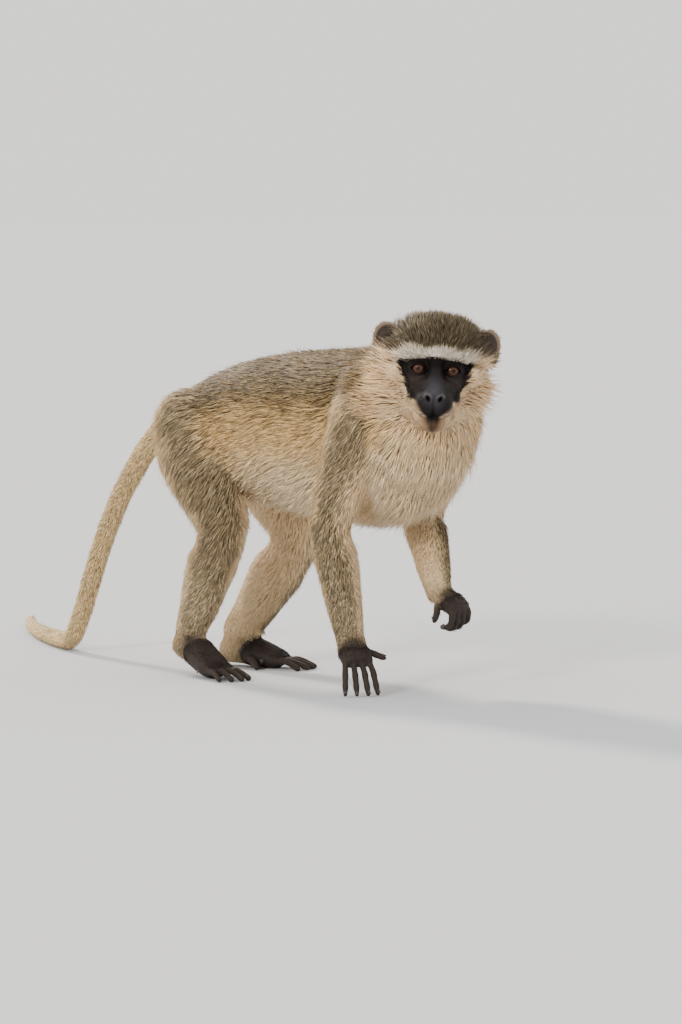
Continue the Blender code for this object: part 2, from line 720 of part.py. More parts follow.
def set_in(name, add, place, finish, folders, sockets):
    """A node from a form that stands alone, trimmed level with the ground, and the socket it needs in the flesh."""
    shape = bmesh.new()
    add(shape, *place)
    form = add_object(f"{name}_form", shape, folders["forms"])
    finish_node(name, cut_mesh(form, folders["ground"]), folders["model"], finish)
    shape = bmesh.new()
    add(shape, *place, grow=GAP)
    add_object(f"{name}_socket", shape, sockets)


def build():
    clear_scene()
    forms = collection("forms")
    model = collection("vervet_monkey", shown=True)
    whole = flesh(forms)
    pieces = part_animal(faceted(whole, "coarse", COARSE_TRIANGLES, forms), forms)
    fine = part_animal(faceted(whole, "fine", FINE_TRIANGLES, forms), forms)
    finely_made = ("head", "right_hand", "left_hand", "right_foot", "left_foot")
    pieces.update({name: fine[name] for name in finely_made})

    floor = collection("floor_cut")
    ground(floor)
    folders = {"forms": forms, "ground": floor, "model": model}
    for word, side in SIDES.items():
        for limb, digits in (("hand", (*FINGERS, THUMB)), ("foot", (*TOES, BIG_TOE))):
            sockets = collection(f"{word}_{limb}_sockets")
            for digit in digits:
                set_in(f"{word}_{digit[0]}", add_digit, (side, limb, digit), "dark", folders, sockets)
            carved = pieces.pop(f"{word}_{limb}")
            finish_node(f"{word}_{limb}", cut_mesh(carved, sockets), model, "dark")
    sockets = collection("head_sockets")
    for word, side in SIDES.items():
        set_in(f"{word}_ear", add_ear, (side,), "ear", folders, sockets)
        set_in(f"{word}_eye", add_eye, (side,), "amber", folders, sockets)
    finish_node("head", cut_mesh(pieces.pop("head"), sockets), model, "grizzled")
    for name, piece in pieces.items():
        finish_node(name, evaluated_mesh(piece), model, FINISHES.get(name, "grizzled"))

    # Everything hangs from one empty, which sets the middle of the model's footprint at the origin.
    corners = [vert.co for node in model.objects for vert in node.data.vertices]
    low = Vector([min(corner[i] for corner in corners) for i in range(3)])
    high = Vector([max(corner[i] for corner in corners) for i in range(3)])
    placement = bpy.data.objects.new("placement", None)
    placement.location = (-(low.x + high.x) / 2, -(low.y + high.y) / 2, -low.z)
    for node in list(model.objects):
        node.parent = placement
    model.objects.link(placement)


if __name__ == "__main__":
    build()
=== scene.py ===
import math

import bpy
import numpy as np
from mathutils import Matrix, Vector


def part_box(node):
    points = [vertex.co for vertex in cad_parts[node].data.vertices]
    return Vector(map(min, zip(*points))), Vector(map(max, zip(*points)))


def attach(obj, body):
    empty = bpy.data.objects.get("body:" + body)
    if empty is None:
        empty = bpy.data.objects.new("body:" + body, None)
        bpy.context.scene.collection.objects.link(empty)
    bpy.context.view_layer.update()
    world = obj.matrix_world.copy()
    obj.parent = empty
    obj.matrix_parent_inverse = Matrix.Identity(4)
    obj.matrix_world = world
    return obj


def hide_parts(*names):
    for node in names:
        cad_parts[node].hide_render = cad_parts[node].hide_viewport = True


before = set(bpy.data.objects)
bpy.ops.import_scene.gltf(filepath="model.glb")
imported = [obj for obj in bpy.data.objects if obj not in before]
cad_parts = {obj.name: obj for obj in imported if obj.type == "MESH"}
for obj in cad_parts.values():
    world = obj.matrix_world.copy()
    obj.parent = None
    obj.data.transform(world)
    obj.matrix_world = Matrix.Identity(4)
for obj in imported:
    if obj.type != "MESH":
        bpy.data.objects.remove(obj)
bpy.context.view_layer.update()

# ------------------------------------------------------------------- Camera
# A long lens, low and ahead on the animal's right, so that the near limbs show
# in profile and the turned face looks straight into it.

turn, rise, distance = math.radians(48), math.radians(4), 4.0
towards_camera = Vector((math.sin(turn) * math.cos(rise), -math.cos(turn) * math.cos(rise), math.sin(rise)))
aim = Vector((0.2030, -0.0352, 0.1435))
camera_data = bpy.data.cameras.new("long_lens")
camera_data.lens = 168.75
camera_data.sensor_width = 36.0
camera_data.clip_end = 60.0
camera = bpy.data.objects.new("long_lens", camera_data)
bpy.context.scene.collection.objects.link(camera)
camera.location = aim + towards_camera * distance
camera.rotation_euler = towards_camera.to_track_quat("Z", "Y").to_euler()
bpy.context.scene.camera = camera

# ---------------------------------------------------------- Studio and light
# A wide matt sheet on the ground, a pale sky that matches it and two soft
# suns: a warm one high behind the animal, which rims the coat, and a lower one
# in front.


def new_finish(name, sockets):
    """A new material, its nodes and its shader, with the shader's own sockets set."""
    finish = bpy.data.materials.new(name)
    finish.use_nodes = True
    shader = finish.node_tree.nodes["Principled BSDF"]
    for socket, value in sockets.items():
        shader.inputs[socket].default_value = value
    return finish, finish.node_tree, shader


bpy.ops.object.select_all(action="DESELECT")
bpy.ops.mesh.primitive_plane_add(size=60, location=(0, 0, 0))
ground = bpy.context.object
ground.name = "studio_ground"
pale_paper, _, _ = new_finish(
    "pale_paper", {"Base Color": (0.60, 0.615, 0.645, 1), "Roughness": 0.9, "Specular IOR Level": 0.0},
)
ground.data.materials.append(pale_paper)

studio = bpy.data.worlds.new("studio")
studio.use_nodes = True
studio.node_tree.nodes["Background"].inputs["Color"].default_value = (1.34, 1.32, 1.28, 1)
studio.node_tree.nodes["Background"].inputs["Strength"].default_value = 1.0
bpy.context.scene.world = studio

rightwards = Vector((math.cos(turn), math.sin(turn), 0))
for lamp_name, place, breadth, power, tint in (
    ("warm_back_sun", rightwards * -1.2 - towards_camera * 2.2 + Vector((0, 0, 1.8)), 9, 3.9, (1.0, 0.90, 0.76)),
    ("front_sun", rightwards * -1.3 + towards_camera * 2.2 + Vector((0, 0, 0.9)), 12, 2.2, (1.0, 0.95, 0.88)),
):
    lamp_data = bpy.data.lights.new(lamp_name, "SUN")
    lamp_data.angle = math.radians(breadth)
    lamp_data.energy = power
    lamp_data.color = tint
    lamp = bpy.data.objects.new(lamp_name, lamp_data)
    bpy.context.scene.collection.objects.link(lamp)
    lamp.location = aim + place
    lamp.rotation_euler = place.to_track_quat("Z", "Y").to_euler()

# --------------------------------------------------------------------- Skin
# One hide from the lips to the tip of the tail. It follows the solids, drawn in
# under the coat by the coat's own depth, and it is bare on the face, ears,
# palms and soles.

# First the joints inside the animal, which the lie of its coat and its markings
# follow. They are placed from the left eyeball, the one true ball among the
# solids. Metres and degrees.
low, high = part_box("left_eye")
head_turn = Matrix.Rotation(math.radians(-42), 4, "Z") @ Matrix.Rotation(math.radians(-4.5), 4, "X")
head_centre = (low + high) / 2 - head_turn @ Vector((0.0278, 0.0130, 0.0014))
head_frame = Matrix.Translation(head_centre) @ head_turn
stance = np.array(head_centre - Vector((0.1493, -0.0228, 0.268)))
upper_arm, forearm, palm_length = 0.089, 0.0965, 0.028
thigh, shank, foot_length = 0.108, 0.113, 0.07


def joint(x, y, z):
    return np.array((x, y, z)) + stance


def hung(start, length, ahead, out, side):
    a, b = math.radians(ahead), math.radians(out)
    return start + length * np.array((math.sin(a) * math.cos(b), side * math.sin(b), -math.cos(a) * math.cos(b)))


right_shoulder, left_shoulder = joint(0.090, -0.044, 0.224), joint(0.087, 0.048, 0.220)
right_elbow = hung(right_shoulder, upper_arm, -20, 8, -1)
right_wrist = hung(right_elbow, forearm, 6, -8, -1)
right_palm = right_wrist + palm_length * np.array((0.62, -0.26, -0.74))
left_elbow = hung(left_shoulder, upper_arm, -30, 10, 1)
left_wrist = hung(left_elbow, forearm, 45, -25, 1)
left_palm = left_wrist + palm_length * np.array((0.84, 0.15, -0.52))

right_hip, left_hip = joint(-0.133, -0.034, 0.213), joint(-0.141, 0.034, 0.211)
right_knee = hung(right_hip, thigh, 35, 11, -1)
right_ankle = hung(right_knee, shank, -34, -6, -1)
right_toes = np.array((right_ankle[0] + 0.066, right_ankle[1] - 0.009, 0.008))
left_knee = hung(left_hip, thigh, 24, 10, 1)
left_ankle = hung(left_knee, shank, -37, -8, 1)
left_toes = np.array((left_ankle[0] + 0.064, left_ankle[1] + 0.016, 0.008))

tail_bones = [joint(*place) for place in (
    (-0.162, 0.000, 0.220), (-0.206, 0.000, 0.212), (-0.244, 0.000, 0.183), (-0.275, 0.000, 0.146),
    (-0.298, 0.000, 0.109), (-0.317, 0.000, 0.070), (-0.333, 0.001, 0.036), (-0.353, 0.006, 0.012),
)]
tail_spot, tail_way = joint(-0.381, 0.017, 0.0084), 156.0
for _ in range(6):
    tail_bones.append(tail_spot.copy())
    tail_spot += 0.05 * np.array((math.cos(math.radians(tail_way)), math.sin(math.radians(tail_way)), -0.011))
    tail_way -= 4.0
tail_bones.append(tail_bones[-1] + (tail_bones[-1] - tail_bones[-2]) * 0.3)

# How the coat grows over each bone: its flesh radius, its hair's length, how
# deep the coat stands off the hide, how broad a lock is and which way it lies.
# Millimetres, but for the bones.
coat_map = []


def grows(*row):
    coat_map.append(row)


for region, part, start, end, *coat in (
    ("trunk", "rump", (-0.160, 0, 0.205), (-0.085, 0, 0.213), 46, 17, 6.5, 0.95, (-0.9, 0, -0.45)),
    ("trunk", "loin", (-0.085, 0, 0.213), (0.020, 0, 0.212), 56, 18, 7.0, 0.95, (-1, 0, -0.35)),
    ("trunk", "chest", (0.020, 0, 0.212), (0.095, 0, 0.222), 56, 18, 7.0, 0.95, (-0.85, 0, -0.5)),
    ("neck", "nape", (0.090, -0.003, 0.238), (0.125, -0.012, 0.250), 45, 20, 8.0, 0.95, (-0.8, 0.1, -0.6)),
    ("neck", "throat", (0.115, -0.006, 0.205), (0.126, -0.008, 0.222), 36, 22, 9.0, 0.95, (-0.25, 0, -0.95)),
):
    grows(region, part, joint(*start), joint(*end), *coat)
for region, side, (shoulder, elbow, wrist, palm) in (
    ("right_arm", -1, (right_shoulder, right_elbow, right_wrist, right_palm)),
    ("left_arm", 1, (left_shoulder, left_elbow, left_wrist, left_palm)),
):
    sweep = (elbow - shoulder) / upper_arm + (-0.25, side * 0.05, 0)
    grows(region, "upper", shoulder, elbow, 24, 14, 5.0, 0.85, sweep)
    grows(region, "lower", elbow, wrist, 15, 10, 3.4, 0.75, (wrist - elbow) / forearm + (-0.35, 0, 0))
    grows(region, "paw", wrist, palm, 10, 5, 0.6, 0.55, (palm - wrist) / palm_length)
for region, side, (hip, knee, ankle, toes) in (
    ("right_leg", -1, (right_hip, right_knee, right_ankle, right_toes)),
    ("left_leg", 1, (left_hip, left_knee, left_ankle, left_toes)),
):
    sweep = (knee - hip) / thigh * 0.7 + (-0.75, side * 0.1, -0.2)
    grows(region, "upper", hip, knee, 33, 15, 5.5, 0.85, sweep)
    grows(region, "lower", knee, ankle, 17, 11, 3.6, 0.75, (ankle - knee) / shank + (-0.15, 0, -0.1))
    grows(region, "paw", ankle, toes, 12, 5, 0.7, 0.55, (toes - ankle) / foot_length)
for k, (start, end) in enumerate(zip(tail_bones, tail_bones[1:])):
    radius = 12 - k * 0.2 if k < 3 else 10 - max(0, k - 7) * 0.75
    grows("tail", "tail", start, end, radius - 3, 8.5, 2.9, 0.65, (end - start) / np.linalg.norm(end - start))
(
    coat_regions, coat_parts, bone_starts, bone_ends, flesh_radii, hair_lengths, coat_depths, lock_breadths, sweeps,
) = (np.array(column) for column in zip(*coat_map))
on_paws, on_lower_limbs = coat_parts == "paw", coat_parts == "lower"


def fade(low_end, high_end, value):
    t = np.clip((value - low_end) / (high_end - low_end), 0, 1)
    return t * t * (3 - 2 * t)


def bell(*spans):
    """1 where every distance is 0, and nearly 0 at twice its width, for pairs of (distance, width)."""
    return np.exp(-sum((distance / width) ** 2 for distance, width in spans))


def wander(places, size, seed):
    """Smooth noise from -1 to 1 with features of about that size in metres."""
    dice = np.random.default_rng(seed)
    total = np.zeros(len(places))
    for _ in range(9):
        way = dice.normal(size=3)
        way *= dice.uniform(0.6, 1.6) * 2.2 / size / np.linalg.norm(way)
        total += np.sin(places @ way + dice.uniform(0, 6.28))
    return total / 4.2


def carried(places, matrix):
    matrix = np.array(matrix)
    return places @ matrix[:3, :3].T + matrix[:3, 3]


def in_head(places):
    """Places as millimetres in the head: out of the face, to its left, and up."""
    return carried(places, head_frame.inverted()) * 1000


def from_head(q):
    return carried(q / 1000, head_frame)


def turned_from_head(ways):
    return ways @ np.array(head_frame)[:3, :3].T


def turned_into_head(ways):
    return ways @ np.array(head_frame)[:3, :3]


def mirrored(q):
    """Places in the head, all brought to its left half."""
    return np.stack([q[:, 0], np.abs(q[:, 1]), q[:, 2]], 1)


def lengths(ways):
    return np.linalg.norm(ways, axis=1)


def unit(ways, least=1e-9):
    return ways / (np.linalg.norm(ways, axis=1, keepdims=True) + least)


def beside(places, start, end):
    """How far along a line each place is, from 0 to 1, and its offset from the line."""
    way = end - start
    t = np.clip((places - start) @ way / (way @ way), 0, 1)
    return t, places - start - t[:, None] * way


def near_bones(places):
    """How strongly each bone holds at each place, how far along it that is, and how far off its flesh."""
    weights, along, off = [], [], []
    for start, end, radius in zip(bone_starts, bone_ends, flesh_radii):
        t, offset = beside(places, start, end)
        away = lengths(offset) * 1000
        weights.append(1 / (np.maximum(away - radius, 0) + 3.0) ** 4)
        along.append(t)
        off.append(away - radius)
    weights = np.array(weights).T
    return weights / weights.sum(1, keepdims=True), np.array(along).T, np.array(off).T


def added(values, bones):
    """The columns of values that belong to the chosen bones, added up."""
    return sum(values[:, k] for k in np.flatnonzero(bones))


def headness(places):
    """1 on the head, 0 on the body, and between them over the nape and throat."""
    q = in_head(places)
    away = lengths((q - (8, 0, 0)) / (1.35, 1.0, 1.0))
    nape = fade(-32, -18, q[:, 0] + 0.25 * q[:, 2])
    throat = fade(-48, -38, q[:, 2] + 0.35 * np.maximum(q[:, 0] - 10, 0))
    return (1 - fade(64, 76, away)) * nape * throat


def face_edge(up):
    """Half the breadth of the bare dark face at a height, in millimetres."""
    heights = (-54, -50, -44, -38, -33, -26, -20, -10, 0, 3, 6, 8.5, 10)
    return np.interp(up, heights, (0, 7, 12.5, 17, 20, 19, 19, 23.5, 28.5, 29.5, 28, 14, 0))


ear_out, ear_side, ear_up, ear_radius, ear_turn = -10, 37, 17.5, 15, math.radians(28)


def ear_nearness(q):
    """1 on the thin cups of the ears, 0 on the skull beside them."""
    out, aside, up = mirrored(q).T
    across = aside - ear_side
    thick = (out - ear_out) * math.cos(ear_turn) + across * math.sin(ear_turn)
    spread = np.sqrt((across / math.cos(ear_turn)) ** 2 + (up - ear_up) ** 2)
    return fade(-3.0, -1.0, across) * fade(8.0, 6.5, np.abs(thick - 3)) * fade(24.0, 22.5, spread)


def bareness(q):
    """1 on the bare face, 0 under the coat, for places in the head."""
    out, aside, up = mirrored(q).T
    edge = np.minimum(face_edge(up) - aside, (10.2 - up) * 1.6) + 1.3 * wander(q / 1000, 0.0045, 8)
    jaw = fade(-22, -28, up)
    return fade(-2.0, 4.0, edge) * (fade(8, 18, out) * (1 - jaw) + fade(33, 43, out) * jaw)


def from_mouth(q):
    """Millimetres from the closed line of the mouth, for places in the head."""
    line = np.array(((64, 0, -35.9), (59.5, 8.5, -34.9), (51, 14.6, -30.2), (38, 20, -22.6)), float)
    half, nearest = mirrored(q), np.full(len(q), 99.0)
    for start, end in zip(line, line[1:]):
        nearest = np.minimum(nearest, lengths(beside(half, start, end)[1]))
    return nearest


def nostrils(q):
    """(1 in the openings, 1 on the wings about them) on the tip of the nose."""
    y, z, tilt = np.abs(q[:, 1]) - 4.9, q[:, 2] + 21.6, 0.55
    slant_y, slant_z = y * math.cos(tilt) - z * math.sin(tilt), y * math.sin(tilt) + z * math.cos(tilt)
    opening = np.exp(-((((slant_y / 1.25) ** 2 + (slant_z / 2.3) ** 2)) ** 1.6))
    wing = bell((np.sqrt((slant_y / 2.5) ** 2 + (slant_z / 3.6) ** 2) - 1, 0.35))
    at_nose = fade(48, 54, q[:, 0])
    return opening * at_nose, wing * at_nose


def coat_at(places):
    """At each place the hair's length, coat's depth and lock's breadth, and the way the hair lies."""
    weights, along, _ = near_bones(places)
    hair, depth, breadth = weights @ hair_lengths, weights @ coat_depths, weights @ lock_breadths
    cuff = added(weights * fade(0.45, 0.98, along), on_lower_limbs)
    hair, depth = hair * (1 - 0.50 * cuff), depth * (1 - 0.80 * cuff)
    way = weights @ sweeps
    q = in_head(places)
    out, aside, up = mirrored(q).T
    head = headness(places)
    front = fade(-30, 34, out)
    cheek = fade(14, 34, aside) * (1 - fade(8, 22, up))
    crown = fade(12, 26, up)
    rim = 1 - fade(0, 14, np.maximum(aside - face_edge(up), up - 11))
    brow = fade(7, 11, up + 0.12 * aside) * fade(22, 15, up) * front
    chin = fade(-30, -40, up) * fade(0, 20, out) * (1 - fade(14, 24, aside))
    bare = bareness(q) * head
    on_head = np.stack([12 + 9 * cheek - 1.5 * crown, 7.0 + 6.0 * cheek + 1.0 * crown, 0.75 - 0.1 * crown], 1)
    on_head -= np.stack([3.8 * brow + 0.8 * crown, 1.0 * brow, 0.26 * brow + 0.1 * crown], 1)
    on_head[:, 0] *= 1 - 0.45 * rim * front
    on_head[:, 1] *= 1 - 0.72 * rim * front
    on_head[:, 0] *= 1 - 0.5 * chin
    on_head[:, 1] *= 1 - 0.6 * chin
    on_head *= (1 - np.stack([0.7 * bare, bare, 0.35 * bare], 1))
    radial = unit(np.stack([np.zeros(len(q)), q[:, 1], q[:, 2] + 12], 1), 1e-6)
    radial[:, 0] = -0.25 - 1.5 * (1 - front)
    way = way * (1 - head[:, None]) + turned_from_head(radial) * head[:, None] * 1.2
    hair, depth, breadth = (a * (1 - head) + b * head for a, b in zip((hair, depth, breadth), on_head.T))
    return hair, depth, breadth, unit(way)


# The colours of the hide and the coat: grizzled olive back, cream belly and
# tail, grey-brown limbs with pale inner sides, black face, hands and feet, and
# a white band over the brow.
def paint(red, green, blue):
    channels = np.array((red, green, blue)) / 255
    return np.where(channels <= 0.04045, channels / 12.92, ((channels + 0.055) / 1.055) ** 2.4)


def over(under, colour, share):
    return under * (1 - share[:, None]) + colour * share[:, None]


def painted(under, *layers):
    """The colour under, with layers of (share, red, green, blue) laid over it in turn."""
    for share, *colour in layers:
        under = over(under, paint(*colour), share)
    return under


def trunk_markings(places, normals, neck):
    x, _, z = (places - stance).T
    stations = (-0.18, -0.14, -0.04, 0.065, 0.12)
    under = np.interp(x, stations, (0.178, 0.160, 0.146, 0.139, 0.178))
    top = np.interp(x, stations, (0.228, 0.255, 0.277, 0.284, 0.276))
    height = (z - under) / (top - under) + 0.05 * wander(places, 0.030, 3) + 0.10 * normals[:, 2]
    throat = fade(0.245, 0.215, z + 0.25 * (0.125 - x))
    bib = neck * throat * fade(-0.2, 0.3, normals[:, 0] - normals[:, 2] * 0.6)
    nape = neck * fade(0.208, 0.245, z) * fade(0.6, 0.2, normals[:, 0])
    colour = painted(
        paint(226, 188, 128),
        (fade(0.50, 0.80, height), 120, 100, 68),
        (1 - fade(0.10, 0.50, height), 255, 229, 188),
        (nape * 0.8, 138, 113, 78),
        (bib, 255, 225, 180),
    )
    return colour, (0.25 + 0.75 * fade(0.42, 0.75, height)) * (1 - 0.8 * bib)


def limb_markings(places, normals, weights, along, held, limb, side):
    """(colour, how flecked the coat is, how much of that is left towards the dark paw) on one limb."""
    blotch, grain = wander(places, 0.030, 3), wander(places, 0.009, 4)
    upper, lower, paw = np.flatnonzero(coat_regions == limb)
    on_arm = limb.endswith("arm")
    rear = fade(-0.02, 0.38, -normals[:, 0] + 0.2 * grain)
    forward = np.maximum(normals[:, 0], 0) * np.where(weights[:, upper] > weights[:, lower], 0.55, 0.2) * on_arm
    inner = 1 - fade(-0.35, 0.15, normals[:, 1] * side - forward + 0.12 * grain)
    by_body = fade(0.4, 0.1, weights[:, lower] + weights[:, paw])
    inner = np.maximum(inner, fade(-0.2, -0.5, normals[:, 2]) * on_arm * by_body)
    shin = weights[:, lower] * fade(0.1, 0.6, along[:, lower]) * (0.3 if on_arm else 0.75)
    dark = weights[:, paw] * (0.35 + 0.65 * fade(0, 0.3, along[:, paw] + 0.08 * grain))
    dark = dark + weights[:, lower] * fade(0.86, 1.0, along[:, lower] + 0.05 * grain) * 0.4
    dark = fade(0.15, 0.8, dark / np.maximum(held, 1e-6))
    colour = painted(
        paint(169, 148, 115),
        (fade(-0.2, 0.8, blotch) * 0.5, 136, 118, 90),
        (rear * 0.9, 255, 221, 168),
        (inner, 255, 223, 176),
        (shin * (0.75 + 0.5 * blotch).clip(0, 1), 206, 184, 146),
        (dark, 50, 43, 39),
    )
    return colour, 0.75 - 0.55 * np.maximum(inner, rear * 0.8), 1 - 0.4 * dark


def head_markings(places):
    q = in_head(places)
    out, aside, up = mirrored(q).T
    ripple = 1.4 * wander(places, 0.007, 6)
    cap = fade(-1.0, 1.5, up - (15.5 - 0.0052 * aside**2 + ripple))
    crown = np.maximum(cap, fade(-8, -22, out) * fade(5, 15, up))
    band = fade(3, 7, up + 0.10 * aside) * fade(2, 16, out) * (1 - fade(24, 32, aside))
    colour = painted(
        paint(255, 224, 182),
        (fade(22, 46, aside - out * 0.5), 238, 202, 154),
        (crown, 96, 84, 64),
        (band * (1 - cap), 220, 209, 192),
    )
    opening, wing = nostrils(q)
    face = painted(
        paint(17, 12, 11),
        (bell((aside, 8), (up + 17, 11)) * 0.68, 72, 70, 77),
        (bell((aside - 15, 8), (up + 8, 5)) * 0.55, 62, 50, 47),
        # painted shadow: near black under the brows and at the inner corners of the eyes
        (np.maximum(fade(1, 4, up), bell((aside - 7, 3), (up, 5))) * 0.85, 9, 4, 3),
        # painted highlight: paler grey over the tops of the nostril wings
        (wing * fade(-22, -19, up) * 0.45, 104, 98, 98),
        # painted shade: near black inside the nostril openings
        (opening, 6, 4, 4),
        (fade(-37, -43, up) * 0.8, 62, 48, 36),
    )
    lip_heights = (-51, -49, -45.5, -41, -37.5, -36, -34, -31.5, -28, -24.5, -22)
    lip_edge = np.interp(up, lip_heights, (0, 1.6, 3.8, 6.0, 7.0, 6.8, 9.0, 12.0, 14, 15.5, 21))
    blur = 1.4 + 0.5 * fade(-33, -39, up)
    lip = fade(-2.2 * blur, 1.8 * blur, aside - lip_edge + ripple) * fade(-20.5, -23, up)
    to_mouth = from_mouth(q)
    below_mouth = fade(-35.5, -37, up - 0.55 * aside + 4)
    lip_colour = painted(
        paint(170, 146, 116),
        # the lower lip is browner and darker than the upper, partly its own colour and partly painted shade under
        # the upper lip
        (below_mouth, 146, 115, 88),
        # a paler band along the upper lip's edge at the mouth, partly a rim of fine pale hair and partly a painted
        # highlight
        (fade(4.5, 1.8, to_mouth) * (1 - below_mouth) * 0.8, 226, 200, 166),
        # paler towards the back of the lips, partly their own cream and partly a painted rim of light
        (fade(57, 43, out) * 0.85, 222, 190, 150),
    )
    face = over(face, lip_colour, np.maximum(lip * 0.85, 0.05 * fade(-37, -42, up)))
    # painted shade in the groove of the closed mouth, beside its middle
    face = painted(face, (bell((to_mouth, 1.2)) * fade(4, 8, aside) * 0.9, 62, 42, 36))
    # painted shade of a fold along each side of the muzzle, at the height of the nostrils
    painted_fold_shade = bell((up + 21.5 - 0.08 * (aside - 20), 1.2))
    painted_fold_shade = painted_fold_shade * fade(16, 19, aside) * fade(34, 27, aside) * fade(8, 20, out)
    bare, on_ear = bareness(q), ear_nearness(q)
    colour = over(colour, face, fade(0.15, 0.5, bare))
    colour = painted(colour, (painted_fold_shade * 0.75, 64, 46, 36), (on_ear, 150, 124, 98))
    return colour, (0.15 + 0.85 * crown) * (1 - bare) * (1 - on_ear)


def markings(places, normals):
    """(colour, how grizzled it is) at each place on the hide, from the side of the body that it faces."""
    weights, along, _ = near_bones(places)
    share = {region: weights[:, coat_regions == region].sum(1) for region in set(coat_regions)}
    colour, grizzle = trunk_markings(places, normals, share["neck"])
    for limb, side in (("right_arm", -1), ("right_leg", -1), ("left_arm", 1), ("left_leg", 1)):
        limb_colour, flecked, above_paw = limb_markings(places, normals, weights, along, share[limb], limb, side)
        blend = fade(0.25, 0.75, share[limb])
        colour = over(colour, limb_colour, blend)
        grizzle = grizzle * (1 - blend) + blend * flecked * above_paw
    tail = fade(0.3, 0.8, share["tail"])
    tail_colour = painted(paint(226, 197, 147), (fade(0.1, 0.9, normals[:, 2]) * 0.35, 160, 138, 104))
    colour = over(colour, tail_colour, tail)
    grizzle = grizzle * (1 - tail) + 0.3 * tail
    head = headness(places)
    head_colour, head_grizzle = head_markings(places)
    return over(colour, head_colour, head), np.clip(grizzle * (1 - head) + head_grizzle * head, 0, 1)


# Now the hide itself, from copies of the solids. Metres, but for the head.
body = "root"
flesh_names = [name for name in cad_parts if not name.endswith("_eye")]
digit_names = [name for name in flesh_names if name.endswith(("finger", "thumb", "toe"))]
ear_names = [name for name in flesh_names if name.endswith("_ear")]
paw_names = [name for name in flesh_names if name.endswith(("_hand", "_foot"))]
broad_names = [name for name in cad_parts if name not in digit_names and name not in ear_names]
paw_bones = {
    "right_hand": (right_wrist, right_palm), "left_hand": (left_wrist, left_palm),
    "right_foot": (right_ankle, right_toes), "left_foot": (left_ankle, left_toes),
}


def edit_all(operator, **settings):
    bpy.ops.object.mode_set(mode="EDIT")
    bpy.ops.mesh.select_all(action="SELECT")
    operator(**settings)
    bpy.ops.object.mode_set(mode="OBJECT")


def join_into(piece, *others):
    bpy.ops.object.select_all(action="DESELECT")
    for other in (piece, *others):
        other.select_set(True)
    bpy.context.view_layer.objects.active = piece
    bpy.ops.object.join()


def joined_copy(name, node_names):
    copies = [bpy.data.objects.new(name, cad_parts[node_name].data.copy()) for node_name in node_names]
    for copy in copies:
        copy.data.materials.clear()
        bpy.context.scene.collection.objects.link(copy)
    join_into(copies[-1], *copies[:-1])
    edit_all(bpy.ops.mesh.remove_doubles, threshold=1e-5)
    copies[-1].name = copies[-1].data.name = name
    return copies[-1]


def new_ball(segments, rings):
    bpy.ops.object.select_all(action="DESELECT")
    bpy.ops.mesh.primitive_uv_sphere_add(segments=segments, ring_count=rings, radius=1)
    return bpy.context.object


def apply_modifier(piece, kind, **settings):
    bpy.context.view_layer.objects.active = piece
    modifier = piece.modifiers.new(kind.lower(), kind)
    for setting, value in settings.items():
        setattr(modifier, setting, value)
    bpy.ops.object.modifier_apply(modifier=modifier.name)


def smoothed(piece, times):
    apply_modifier(piece, "SMOOTH", factor=0.5, iterations=times)


def read(items, field, width, kind=np.float32):
    values = np.empty(len(items) * width, kind)
    items.foreach_get(field, values)
    return values.reshape(-1, width)


def places_of(piece):
    return read(piece.data.vertices, "co", 3).astype(float)


def normals_of(piece):
    return read(piece.data.vertex_normals, "vector", 3).astype(float)


def move_to(piece, places):
    piece.data.vertices.foreach_set("co", places.astype(np.float32).ravel())
    piece.data.update()


seam = 0.0004
skin = joined_copy("skin", broad_names)
apply_modifier(skin, "DISPLACE", strength=seam, mid_level=0.0)
apply_modifier(skin, "REMESH", mode="VOXEL", voxel_size=0.0025)
smoothed(skin, 14)
for _ in range(3):
    places = places_of(skin)
    depth = coat_at(places)[1] / 1000
    move_to(skin, places - normals_of(skin) * depth[:, None] / 3)
    smoothed(skin, 2)

# The fingers, thumbs and toes, each with two knuckles and wrinkles over the first.
first_knuckle, second_knuckle = 0.40, 0.71
digits = []
digit_lines = {}
for name in digit_names:
    palm = paw_bones[f"{name.split('_')[0]}_{'foot' if name.endswith('toe') else 'hand'}"][1]
    points = places_of(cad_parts[name])
    from_palm = lengths(points - palm)
    root_end = points[from_palm < from_palm.min() + 0.004].mean(0)
    far = lengths(points - root_end)
    digit_lines[name] = (root_end, points[far.argmax()], points.mean(0))
    digit = joined_copy(name + "_skin", [name])
    apply_modifier(digit, "SUBSURF", levels=2, render_levels=2)
    places = places_of(digit)
    t = lengths(places - root_end) / far.max()
    knuckle = bell((t - first_knuckle, 0.09)) + bell((t - second_knuckle, 0.08))
    wrinkle = np.sin(t * 95) * bell((t - first_knuckle, 0.10)) * 0.00008
    move_to(digit, places + normals_of(digit) * (0.00055 * knuckle - 0.00005 + wrinkle)[:, None])
    digits.append(digit)

